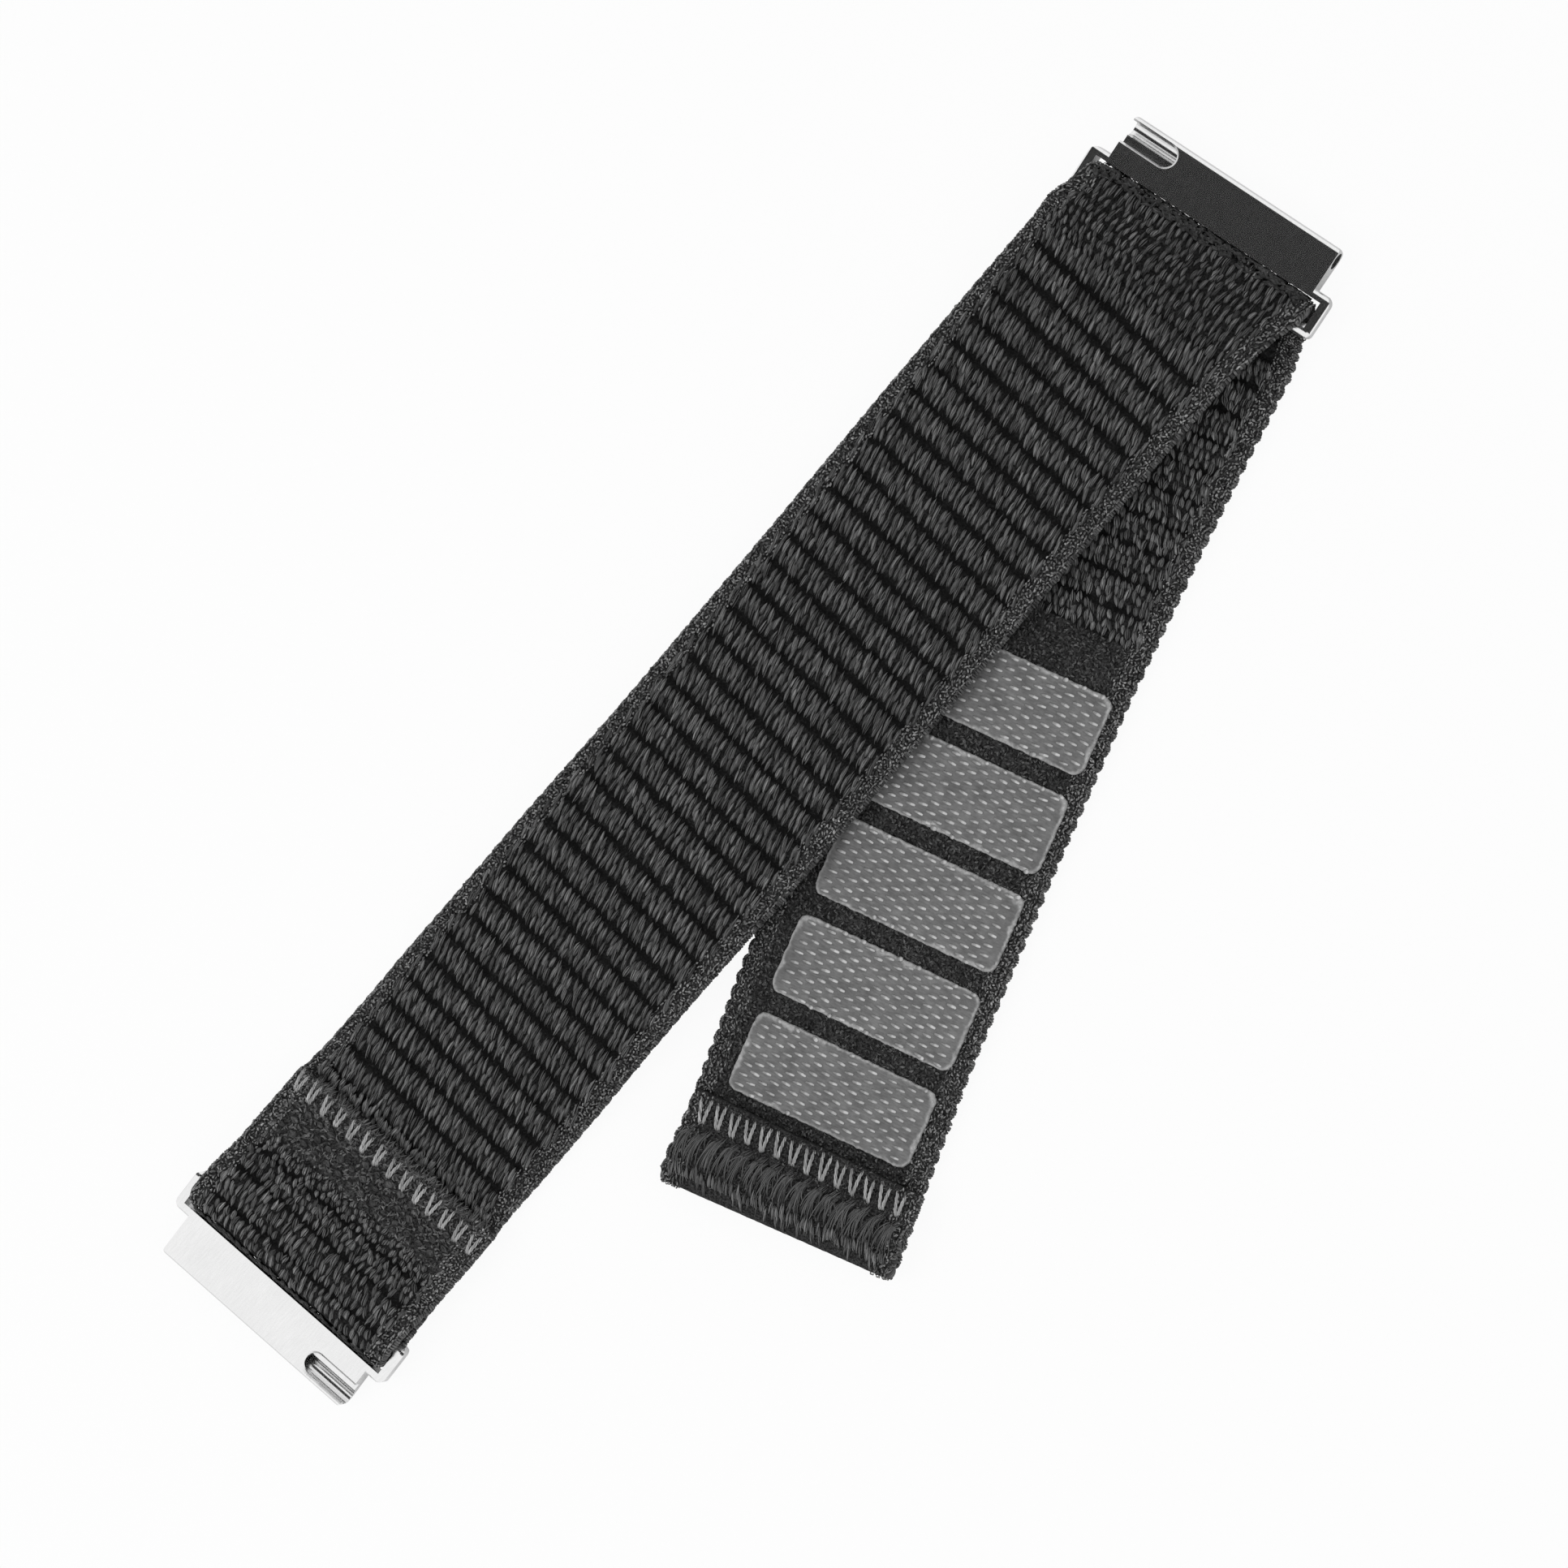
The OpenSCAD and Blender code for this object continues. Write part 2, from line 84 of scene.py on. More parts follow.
BAR_D, BAR_GAP, LAYER_GAP, CLOSURE_GAP = 1.5, 0.1, 0.05, 0.3
CENTRE = np.array([61.2431, -13.6760, 0.0])
TABLE_GAP = 0.01

# The ribbon is spread a little where it is sewn double and where it turns round the buckle bar
SEWN_WIDEN, TURN_WIDEN = 1.04, 1.035

# Its spread goes down to this just past the sewn layer, and to nothing a little farther on
PAST_SEWN_WIDEN = 1.015

# Yarn objects are split along the ribbon where they would hold more triangles than this
MOST_TRIANGLES = 180000

# Strands of a bundle, each with its place across, its drop and its share of the bundle's tone. The side
# strands, which drop lower, get less tone as painted shade, and the middle one on top more as painted light.
ONE = ((0.0, 0.0, 1.0),)
THREE = ((-1.0, 0.08, 0.68), (0.05, 0.0, 1.12), (1.0, 0.05, 0.86))

# Plies of the sewing thread, and the length of one full twist
PLIES, TWIST_PITCH = 3, 1.5

# Pitch of the scallops along the ribbon's edges, their depth on the run and on the tail, and the margin
# that they bend
SCALLOP, RUN_SCALLOP, TAIL_SCALLOP, SCALLOPED = 1.45, 0.08, 0.3, 1.0

# How far the photograph's fabric lies to the side of the CAD's straight middle line, as (place, shift)
SEWN_SHIFT = ((0.0, 0.0), (4.0, 0.1), (14.0, 0.15))
RUN_SHIFT = ((0.0, 0.05), (4.0, 0.42), (14.0, 0.48), (27.0, 0.5), (40.0, 0.3), (57.0, 0.2), (77.0, 0.5),
             (95.0, 0.95), (117.0, 1.0), (119.5, 0.85), (121.7, 0.15))
TAIL_SHIFT = ((0.0, -0.1), (6.0, -0.45), (14.0, 0.03), (24.0, 0.5), (38.0, 0.92), (55.0, 0.88), (74.0, 0.5),
              (84.0, -0.1), (94.0, -0.75))

# Flat knots of the bare weave: rows along the ribbon, pitch and inset of the knots in a row, and the
# distance that the loops keep from their middles
KNOT_ROWS, KNOT_PITCH, KNOT_INSET, KNOT_CLEAR = (2.9, 4.05, 5.2), 1.36, 0.6, 0.46

# Rows of hooks along the tail, and hooks across it
HOOK_ROW, HOOK_PITCH = 0.475, 1.96

# Studio: strength of the world as a light, how far the camera sees through the floor, and the dark card's
# place and half width in metres
WORLD_LEVEL, FLOOR_CLEAR = 0.62, 0.93
CARD_AT, CARD_HALF = (0.056, 0.088, 0.3), 0.11

# Distance between two stations of the ribbon's middle line
STEP = 0.1

# Heights of the middle of the web from the table up, and the radii of its turns
HALF_WEB = WEB_T / 2
TURN_RUN = BAR_D / 2 + BAR_GAP + HALF_WEB
HAND_OVER = BAR_D + BAR_GAP
LOW_Z = RIB_H + HALF_WEB
BAR_Z = LOW_Z + TURN_RUN
HIGH_Z = BAR_Z + TURN_RUN
TAIL_TOP = RIB_H + WEB_T
OVER_PADS_Z = TAIL_TOP + PAD_T + CLOSURE_GAP + RIB_H + HALF_WEB
SEWN_Z = TAIL_TOP + RIB_H + LAYER_GAP + HALF_WEB
TAB_Z = TAIL_TOP + LAYER_GAP + HALF_WEB
FOLD_R = (TAB_Z + HALF_WEB - RIB_H) / 2
FOLD_RUN = FOLD_R - HALF_WEB
TURN_STEPS = int(np.pi * TURN_RUN / STEP)
CROWN_L = (TAB_L - FOLD_R - STITCH_INSET - TAB_ZIGZAG / 2 - THREAD_D
           - HALF_W * math.tan(math.radians(TAB_SKEW)))


def ease(x, a, b):
    """Smooth step from 0 at a to 1 at b."""
    k = np.clip((x - a) / (b - a), 0, 1)
    return k * k * (3 - 2 * k)


def sideways(x, pairs):
    """Shift at x, smoothed along (place, shift) pairs."""
    return np.mean([np.interp(x + near, *np.transpose(pairs)) for near in np.linspace(-1, 1, 7)], 0)


def plan(angle):
    """Unit vectors along and across, for a direction in plan given in degrees."""
    a = np.radians(angle)
    return np.stack([np.cos(a), np.sin(a), 0 * a], -1), np.stack([-np.sin(a), np.cos(a), 0 * a], -1)


def run_z(x):
    """Height of the long run's middle, which climbs over the tail and onto the buckle bar."""
    skew = math.radians(TAIL_SKEW)
    crossing = BAR_TO_BAR - BAND_W * (1 + math.cos(skew)) / 2 / math.sin(skew)
    over = ease(x, SEWN_END_L + 2 * RIB_PITCH, crossing - RIB_PITCH)
    climb = ease(x, BAR_TO_BAR - 10 * RIB_PITCH, BAR_TO_BAR - 3 * RIB_PITCH)
    return LOW_Z + (OVER_PADS_Z - LOW_Z) * over + (HIGH_Z - OVER_PADS_Z) * climb


class Ribbon:
    """The ribbon's middle line, with its cross direction and its normal at each station."""

    def __init__(self):
        self.points, self.angles, self.widen, self.marks = [], [], [], {}
        self.sewn_end()
        self.turn("fixed_top", np.array([0.0, 0.0, BAR_Z]), 180 + FIXED_SKEW, FIXED_SKEW, RUN_SHIFT[0][1],
                  RUN_SHIFT[0][1], SEWN_WIDEN)
        self.long_run()
        bar = np.array([BAR_TO_BAR, -TURN_SHIFT, BAR_Z])
        widen = TURN_WIDEN - (TURN_WIDEN - 1) * np.linspace(0, 1, TURN_STEPS)[:-1]
        self.turn("buckle_top", bar, BUCKLE_SKEW, BUCKLE_SKEW, TURN_SHIFT + RUN_SHIFT[-1][1], -TURN_SHIFT,
                  widen)
        self.tail()
        points = join(self.points)
        across = plan(join(self.angles))[1]
        seg = np.linalg.norm(np.diff(points, axis=0), axis=1)
        self.s = join([[0], np.cumsum(seg)])
        along = np.gradient(points, self.s, axis=0)
        normal = np.cross(along, across)
        normal /= np.linalg.norm(normal, axis=1)[:, None]
        self.table = join([points, across * join(self.widen)[:, None], normal], 1)

    def add(self, name, points, angles, widen):
        self.marks[name] = sum(len(p) for p in self.points)
        n = len(points)
        self.points.append(points)
        self.angles.append(np.broadcast_to(angles, (n,)).astype(float))
        self.widen.append(np.broadcast_to(widen, (n,)).astype(float))

    def mark(self, name):
        return self.s[self.marks[name]]

    def sewn_end(self):
        x = np.arange(SEWN_END_L, 0, -STEP)
        down = SEWN_END_L - SEWN_FLAT_L - RIB_PITCH
        z = HIGH_Z + (SEWN_Z - HIGH_Z) * ease(x, HAND_OVER, down)
        flat = np.stack([x, sideways(x, SEWN_SHIFT), z], 1)
        self.add("sewn_end", flat, FIXED_SKEW, SEWN_WIDEN / math.cos(math.radians(FIXED_SKEW)))

    def turn(self, name, bar, outwards, across, first, last, widen):
        """Half a turn round a bar, from its top, out and down to its underside, shifting sideways from first
        to last."""
        a = np.linspace(0, np.pi, TURN_STEPS)[:-1, None]
        out = plan(np.float64(outwards))[0]
        aside = (first + (last - first) * a / np.pi) * plan(np.float64(across))[1]
        points = bar + TURN_RUN * (np.sin(a) * out + np.cos(a) * [0, 0, 1]) + aside
        self.add(name, points, across, widen / math.cos(math.radians(across)))

    def long_run(self):
        x = np.arange(0, BAR_TO_BAR, STEP)
        skew = FIXED_SKEW * (1 - ease(x, 2, 14)) + BUCKLE_SKEW * ease(x, BAR_TO_BAR - 8, BAR_TO_BAR - 1)
        flat = np.stack([x, sideways(x, RUN_SHIFT), run_z(x)], 1)
        widen = (SEWN_WIDEN + (PAST_SEWN_WIDEN - SEWN_WIDEN) * ease(x, 11, 17)
                 + (1 - PAST_SEWN_WIDEN) * ease(x, 26, 40) + (TURN_WIDEN - 1) * ease(x, 115, 120))
        self.add("run", flat, skew, widen / np.cos(np.radians(skew)))

    def tail(self):
        start = np.array([BAR_TO_BAR, -TURN_SHIFT, 0]) - TURN_SHIFT * plan(np.float64(BUCKLE_SKEW))[1]
        along, aside = plan(np.float64(TAIL_SKEW))
        fold_x = TAIL_L - FOLD_R
        x = np.arange(0, fold_x, STEP)
        skew = (BUCKLE_SKEW - TAIL_SKEW) * (1 - ease(x, 0, 7)) + TAB_SKEW * ease(x, fold_x - 12, fold_x)
        flat = start - x[:, None] * along + sideways(x, TAIL_SHIFT)[:, None] * aside + [0, 0, LOW_Z]
        self.add("tail", flat, TAIL_SKEW + skew, 1 / np.cos(np.radians(skew)))
        a = np.linspace(0, np.pi, 40)[:-1, None]
        out = -plan(np.float64(TAIL_SKEW + TAB_SKEW))[0]
        centre = start - fold_x * along + sideways(fold_x, TAIL_SHIFT) * aside + [0, 0, LOW_Z + FOLD_RUN]
        fold = centre + FOLD_RUN * (np.sin(a) * out - np.cos(a) * [0, 0, 1])
        widen = 1 / math.cos(math.radians(TAB_SKEW))
        self.add("fold", fold, TAIL_SKEW + TAB_SKEW, widen)
        x = np.arange(0, TAB_L - FOLD_R + 1e-6, STEP)
        skew = TAB_SKEW * (1 - ease(x, 0, TAB_L - FOLD_R - 1))
        crown = TAB_CROWN * np.sin(np.pi * np.clip(x / CROWN_L, 0, 1))
        tab = (start - (fold_x - x[:, None]) * along + sideways(fold_x, TAIL_SHIFT) * aside
               + (TAB_Z + crown)[:, None] * [0, 0, 1])
        self.add("tab", tab, TAIL_SKEW + skew, 1 / np.cos(np.radians(skew)))
        self.marks["end"] = sum(len(p) for p in self.points) - 1

    def scallops(self, s):
        """How far the ribbon's edges swell out at each place along it."""
        depth = RUN_SCALLOP + (TAIL_SCALLOP - RUN_SCALLOP) * (s > self.mark("tail"))
        return depth * (np.abs(np.sin(np.pi * s / SCALLOP)) ** 0.7 - 0.75)

    def place(self, s, t, h):
        """Points in millimetres, centred as the CAD model is, for arrays of s, t and h. Past the ribbon's
        two ends they go straight on."""
        row = [np.interp(s, self.s, self.table[:, i]) for i in range(9)]
        near_edge = np.clip((np.abs(t) - HALF_W + SCALLOPED) / SCALLOPED, 0, 1.2)
        t = t + self.scallops(s) * near_edge * np.sign(t)
        for end, inner in ((0, 5), (-1, -6)):
            past = np.minimum(s - self.s[0], 0) if end == 0 else np.maximum(s - self.s[-1], 0)
            step = (self.table[end, :3] - self.table[inner, :3]) / (self.s[end] - self.s[inner])
            for i in range(3):
                row[i] = row[i] + past * step[i]
        out = [row[i] + t * row[3 + i] + h * row[6 + i] - CENTRE[i] for i in range(3)]
        out[2] = np.maximum(out[2], TABLE_GAP)
        return np.stack(out, -1)


ribbon = Ribbon()
FIXED_TOP, RUN, BUCKLE_TOP = ribbon.mark("fixed_top"), ribbon.mark("run"), ribbon.mark("buckle_top")
TAIL, FOLD, TAB, END = ribbon.mark("tail"), ribbon.mark("fold"), ribbon.mark("tab"), ribbon.mark("end")
TAIL_TIP = TAIL + TAIL_L


def run_s(x):
    """Place along the ribbon of a point x on the long run."""
    start, stop = ribbon.marks["run"], ribbon.marks["buckle_top"]
    return np.interp(x, np.arange(stop - start) * STEP, ribbon.s[start:stop])


def sewn_s(x):
    """Place along the ribbon of a point x on the sewn end."""
    stop = ribbon.marks["fixed_top"]
    return np.interp(-np.asarray(x, float), -(SEWN_END_L - np.arange(stop) * STEP), ribbon.s[:stop])


# Grooves along the ribbon, as the photograph shows them where it can
TAIL_RIBS = TAIL + BEND_BACK + BEND_GAP / 2
RIBS_B = int((TAIL_L - PAD_START - 4 * PAD_PITCH - PAD_W - FIELD_MARGIN - BEND_BACK) / RIB_PITCH)
SEWN_GROOVES = list(sewn_s([9.0, 6.0, 3.3, 0.4])) + [FIXED_TOP + 2.0, FIXED_TOP + 3.9]
RUN_GROOVES = list(run_s(14.8 + RIB_PITCH * np.arange(-5, 37))) + list(run_s([118.85, 121.4]))
TURN_GROOVES = [BUCKLE_TOP + 1.95, BUCKLE_TOP + 4.1, TAIL + 2.6]
TAIL_GROOVES = list(TAIL_RIBS + RIB_PITCH * np.arange(0, 32))

# End of the sewn layer's bare weave, and the place from which face A runs even up to the buckle turn
BARE_TO = 7.9
FLAT_FROM = run_s(116.3)

GROOVES = np.array(SEWN_GROOVES + RUN_GROOVES + TURN_GROOVES + TAIL_GROOVES)
B_STOPS = TAIL_GROOVES[RIBS_B]


# Slow drift of the ribs along the ribbon, so that no groove is a ruled line
DRIFT = [(draw(0.15, 0.6), draw(0.05, 0.35), draw(0, 6.3)) for _ in range(5)]


def drift(s, t):
    return 0.028 * sum(np.sin(a * t + b * s + c) for a, b, c in DRIFT)


def rib_rise(s, t, side):
    """How far the cloth under the yarns rises between two grooves, from 0 to 1."""
    k = np.clip(np.searchsorted(GROOVES, s - drift(s, t)), 1, len(GROOVES) - 1)
    gap = np.minimum(s - GROOVES[k - 1], GROOVES[k] - s)
    rise = np.clip((gap - GROOVE_W / 2 + 0.1) / 0.5, 0, 1) ** 0.6
    if side < 0:
        rise = rise * (s > sewn_s(SEWN_END_L - SEWN_FLAT_L)) * (s < B_STOPS)
    else:
        rise = np.where((s > FLAT_FROM) & (s < BUCKLE_TOP + 2), 0.8, rise)
    return rise * np.clip((HALF_W - SELVEDGE_W + 0.15 - np.abs(t)) / 0.3, 0, 1)


def add_object(name, data):
    obj = bpy.data.objects.new(name, data)
    scene.collection.objects.link(obj)
    return obj


def ring_quads(rings, size):
    """Faces of four corners between closed rings of points that lie one after the other."""
    i, j = np.meshgrid(np.arange(rings - 1), np.arange(size), indexing="ij")
    nxt = (j + 1) % size
    quads = np.stack([i * size + j, (i + 1) * size + j, (i + 1) * size + nxt, i * size + nxt], -1)
    return quads.reshape(-1, 4)


def make_object(name, verts, quads, tris, material, attributes):
    """A smooth mesh object from millimetre points, faces of four and of three corners, and per-point
    values."""
    mesh = bpy.data.meshes.new(name)
    quads = np.asarray(quads, np.int64).reshape(-1, 4)
    tris = np.asarray(tris, np.int64).reshape(-1, 3)
    loops = join([quads.ravel(), tris.ravel()])
    starts = join([np.arange(len(quads)) * 4, len(quads) * 4 + np.arange(len(tris)) * 3])
    mesh.vertices.add(len(verts))
    mesh.vertices.foreach_set("co", (np.asarray(verts) * 0.001).astype(np.float32).ravel())
    mesh.loops.add(len(loops))
    mesh.loops.foreach_set("vertex_index", loops.astype(np.int32))
    mesh.polygons.add(len(starts))
    mesh.polygons.foreach_set("loop_start", starts.astype(np.int32))
    mesh.polygons.foreach_set("use_smooth", np.ones(len(starts), bool))
    for key, values in attributes.items():
        layer = mesh.attributes.new(key, "FLOAT", "POINT")
        layer.data.foreach_set("value", np.asarray(values, np.float32).ravel())
    mesh.materials.append(material)
    mesh.update(calc_edges=True)
    mesh.validate()
    return add_object(name, mesh)


# Angles round a yarn: four points over its back and one under it
YARN_RING = np.radians([0, 60, 120, 180, 270])


def tubes(path, up, wide, high, ring=YARN_RING, swell=None):
    """Closed yarns. path is (n, m, 3) in s, t, h; up is (n, m, 3); wide and high are (n, m) half sizes.
    swell is an optional (m, k) table that shapes each ring. Returns points, quads, triangles and values."""
    n, m, _ = path.shape
    k = len(ring)
    along = np.gradient(path, axis=1)
    along /= np.linalg.norm(along, axis=2)[..., None] + 1e-9
    side = np.cross(along, up)
    side /= np.linalg.norm(side, axis=2)[..., None] + 1e-9
    up = np.cross(side, along)
    if swell is None:
        swell = np.where(np.sin(ring) < 0, 0.5, 1.0)[None, :] * np.ones((m, 1))
    across, over = np.cos(ring) * swell, np.sin(ring) * swell
    body = (path[:, :, None, :]
            + (across * wide[..., None])[..., None] * side[:, :, None, :]
            + (over * high[..., None])[..., None] * up[:, :, None, :])
    tips = np.stack([path[:, 0] - along[:, 0] * wide[:, :1] * 0.4,
                     path[:, -1] + along[:, -1] * wide[:, -1:] * 0.4], 1)
    verts = join([body.reshape(n, m * k, 3), tips], 1)
    quads = ring_quads(m, k)
    r = np.arange(k)
    first = np.stack([np.full(k, m * k), r, (r + 1) % k], 1)
    last = np.stack([np.full(k, m * k + 1), (m - 1) * k + (r + 1) % k, (m - 1) * k + r], 1)
    tris = join([first, last])
    shift = (np.arange(n) * (m * k + 2))[:, None, None]
    fibre = join([np.broadcast_to(np.cos(ring), (m, k)).ravel(), [0, 0]])
    run = join([np.repeat(np.linspace(0, 1, m), k), [0, 1]])
    values = {"fibre": np.tile(fibre, n), "run": np.tile(run, n)}
    return verts.reshape(-1, 3), (quads + shift).reshape(-1, 4), (tris + shift).reshape(-1, 3), values


def out_of(path, face):
    """The direction out of a face, for every point of a path."""
    return np.broadcast_to([0.0, 0.0, face], path.shape)


def yarn_object(name, path, up, wide, high, tone, material, **shape):
    """One object of yarns laid on the ribbon, each with its own tone and seed for the material."""
    verts, quads, tris, values = tubes(path, up, wide, high, **shape)
    n = len(path)
    count = len(verts) // n
    values["tone"] = np.repeat(tone, count)
    values["seed"] = np.repeat(draw(0, 50, n), count)
    return make_object(name, ribbon.place(*verts.T), quads, tris, material, values)


def bundles(name, leaf, face, material, rings=5, strands=ONE, taper=0.5, vary=0.25):
    """Slanted bundles on one face, as a few objects. leaf holds an array for each of the bundles' sizes,
    taper is how much they thin towards their ends and vary is how much their widths and tones differ."""
    a = np.linspace(0.04, 0.96, rings)[None, :]
    shape = np.sin(np.pi * a) ** taper
    size = {key: values[:, None] for key, values in leaf.items()}
    lean = np.radians(size["lean"])
    loose = len(strands) > 1
    paths, wides, highs, tones = [], [], [], []
    for aside, drop, share in strands:
        aside = aside + loose * draw(-0.3, 0.3, lean.shape)
        drop = drop + loose * draw(-0.04, 0.04, lean.shape)
        along = (a - 0.5 + loose * draw(-0.13, 0.13, lean.shape)) * size["long"]
        across = size["bow"] * 4 * a * (1 - a) + aside * size["gap"] * (0.3 + 0.7 * shape)
        s = size["s"] + along * np.cos(lean) - across * np.sin(lean)
        t = size["t"] + along * np.sin(lean) + across * np.cos(lean)
        h = size["h"] - drop + size["arch"] * (shape - 0.6) + size["tilt"] * (a - 0.5)
        paths.append(np.stack([s + drift(s, t), t, h * face], -1))
        wides.append(size["wide"] * draw(1 - vary, 1 + vary, lean.shape) * shape)
        highs.append(size["high"] * shape)
        # A strand's share of the tone is painted light and shade: less on the lower side strands, more on
        # the top one.
        tones.append(leaf["tone"] * share * draw(1 - vary, 1 + vary, len(lean)))
    path, wide, high, tone = (join(group) for group in (paths, wides, highs, tones))
    order = np.argsort(path[:, 0, 0], kind="stable")
    parts = math.ceil(len(path) * 2 * len(YARN_RING) * rings / MOST_TRIANGLES)
    objects = []
    for number, part in enumerate(np.array_split(order, parts)):
        label = name if parts == 1 else f"{name}_{number + 1}"
        objects.append(yarn_object(label, path[part], out_of(path[part], face), wide[part], high[part],
                                   tone[part], material))
    return objects


def leaf_table(s, t, **sizes):
    """Arrays for the bundles at s, t. Each size is (middle, spread), drawn evenly."""
    leaf = {"s": s, "t": t}
    for key, (middle, spread) in sizes.items():
        leaf[key] = middle + spread * draw(-1, 1, len(s))
    return leaf


def join_tables(tables):
    return {key: join([t[key] for t in tables]) for key in tables[0]}


def between(grooves, s0, s1):
    """The grooves from s0 to s1."""
    return [g for g in grooves if s0 - 0.01 <= g <= s1 + 0.01]


HALF_RIBBED = HALF_W - SELVEDGE_W


def rib_rows(grooves, rows, jitter, **sizes):
    """Rows of bundles on each rib. A row is its share of the way from groove to groove, its pitch across,
    and the length and tone of its bundles."""
    tables = []
    for g, nxt in zip(grooves[:-1], grooves[1:]):
        for at, pitch, long, tone in rows:
            t = np.arange(-HALF_RIBBED + 0.1 + draw(0, pitch), HALF_RIBBED, pitch)
            t = t + draw(-0.19, 0.19, len(t)) * pitch
            s = g + at * (nxt - g) + draw(-jitter, jitter, len(t))
            leaf = leaf_table(s, t, long=(long, 0.16 * long), tone=(tone, 0.38 * tone), **sizes)
            leaf["long"] *= (nxt - g) / RIB_PITCH
            tables.append(leaf)
    return join_tables(tables)


def face_a(grooves):
    """Long leaf-shaped bundles of face A that cross each rib, with fewer and darker ones between them."""
    sizes = dict(lean=(15, 8), bow=(0.01, 0.04), wide=(0.075, 0.015), gap=(0.12, 0.035), high=(0.1, 0.02),
                 h=(0.87, 0.06), arch=(0.2, 0.05), tilt=(0.0, 0.14))
    ribbed = [g for g in grooves if g < FLAT_FROM + 0.2 or g > TAIL]
    even = [g for g in grooves if FLAT_FROM - 0.2 < g < TAIL]
    tables = []
    if len(ribbed) > 1:
        rows = ((0.33, 0.6, 1.5, 0.96), (0.67, 0.6, 1.5, 0.96), (0.5, 1.3, 1.5, 0.8))
        tables.append(rib_rows(ribbed, rows, 0.17, **sizes))
    if len(even) > 1:
        rows = ((0.02, 0.62, 1.3, 0.9), (0.27, 1.1, 1.2, 0.6), (0.51, 0.62, 1.3, 0.9), (0.77, 1.1, 1.2, 0.6))
        tables.append(rib_rows(even, rows, 0.12, **sizes))
    return join_tables(tables)


def face_b(grooves):
    """Shorter, denser bundles of face B, thrown more freely over each rib. They leave off the outer part of
    the fixed turn, where loose loops lie."""
    rows = ((0.2, 0.62, 1.05, 0.98), (0.5, 0.6, 1.15, 1.05), (0.8, 0.62, 1.05, 0.98))
    leaf = rib_rows(grooves, rows, 0.22, lean=(-16, 17), bow=(0.0, 0.08), wide=(0.09, 0.02),
                    gap=(0.15, 0.05), high=(0.1, 0.03), h=(0.86, 0.09), arch=(0.16, 0.05), tilt=(0.0, 0.18))
    off_turn = (leaf["s"] < FIXED_TOP + 1.2) | (leaf["s"] > FIXED_TOP + 3.7)
    return {key: values[off_turn] for key, values in leaf.items()}


def selvedge(s0, s1):
    """Small tight loops of the flat edge bands, each leaning its own way but along the very edge."""
    tables = []
    for edge in (-1, 1):
        for column, (inset, sway) in enumerate(((0.2, 15), (0.42, 40), (0.68, 90), (0.95, 90), (1.22, 60),
                                                (1.5, 40), (1.8, 30))):
            s = np.arange(s0 + 0.12 + 0.15 * (column % 2), s1 - 0.12, 0.32 + 0.04 * (column > 4))
            s = s + draw(-0.1, 0.1, len(s))
            t = edge * (HALF_W - inset) + draw(-0.1, 0.1, len(s))
            leaf = leaf_table(
                s, t, long=(0.34, 0.12), lean=(0, sway), bow=(0.0, 0.08), wide=(0.085, 0.025),
                gap=(0.0, 0.0), high=(0.075, 0.015), h=(0.75, 0.06), arch=(0.1, 0.05), tilt=(0.0, 0.12),
                tone=(1.38, 0.95))
            leaf["h"] -= 1.3 * np.clip(0.5 - (HALF_W - np.abs(t)), 0, 0.5) ** 2
            tables.append(leaf)
    return join_tables(tables)


def crumbs(s0, s1, count, keep, long=0.4, wide=0.075, tone=0.62, vary=0.68):
    """Small loops of the flat, finely woven cloth, kept where keep(s, t) is true. vary is the spread of
    their tones."""
    s = draw(s0, s1, count)
    t = draw(-HALF_RIBBED - 0.1, HALF_RIBBED + 0.1, count)
    good = keep(s, t)
    return leaf_table(s[good], t[good], long=(long, 0.4 * long), lean=(0, 90), bow=(0.0, 0.12),
                      wide=(wide, 0.3 * wide), gap=(0.0, 0.0), high=(0.075, 0.02), h=(0.73, 0.05),
                      arch=(0.08, 0.04), tilt=(0.0, 0.08), tone=(tone, vary * tone))


def shaded_turn_loops(turn, first, lift):
    """Loose loops round the outside of a turn, lift above its middle, from an angle after its top, dark as
    painted shade. They fill the slot up to its far wall."""
    count = 620
    s = turn + TURN_RUN * np.radians(draw(first, 130, count))
    t = draw(-HALF_W + 1.0, HALF_W - 1.0, count)
    # Their low tone is painted shade: the slot round the turn shows dark.
    return leaf_table(s, t, long=(0.75, 0.2), lean=(90, 30), bow=(0.0, 0.1), wide=(0.15, 0.03),
                      gap=(0.0, 0.0), high=(0.1, 0.02), h=(lift, 0.05), arch=(0.05, 0.03), tilt=(0.0, 0.08),
                      tone=(0.28, 0.1))


def rim(name, s0, s1, material):
    """Yarns that wrap round both edges of the ribbon."""
    points = 7
    a = np.radians(np.linspace(70, -70, points))[None, :]
    paths, ups = [], []
    for edge in (-1, 1):
        middle = np.arange(s0 + 0.1, s1 - 0.05, 0.26)
        n = len(middle)
        middle = middle + draw(-0.05, 0.05, n)
        s = middle[:, None] + np.linspace(-0.1, 0.1, points)[None, :] * edge
        out = (0.45 + draw(-0.02, 0.01, n))[:, None]
        h = 0.66 * np.sin(a) * draw(0.94, 1.04, n)[:, None]
        paths.append(np.stack([s, edge * (HALF_W - 0.43 + out * np.cos(a)), h], -1))
        ups.append(np.stack([0 * s, edge * np.cos(a) + 0 * s, np.sin(a) + 0 * s], -1))
    path, up = join(paths), join(ups)
    n = len(path)
    wide = draw(0.11, 0.15, n)[:, None] * np.sin(np.linspace(0.3, 2.84, points)) ** 0.4
    high = draw(0.07, 0.1, n)[:, None] * np.ones(points)
    return yarn_object(name, path, up, wide, high, draw(0.35, 1.3, n), material)


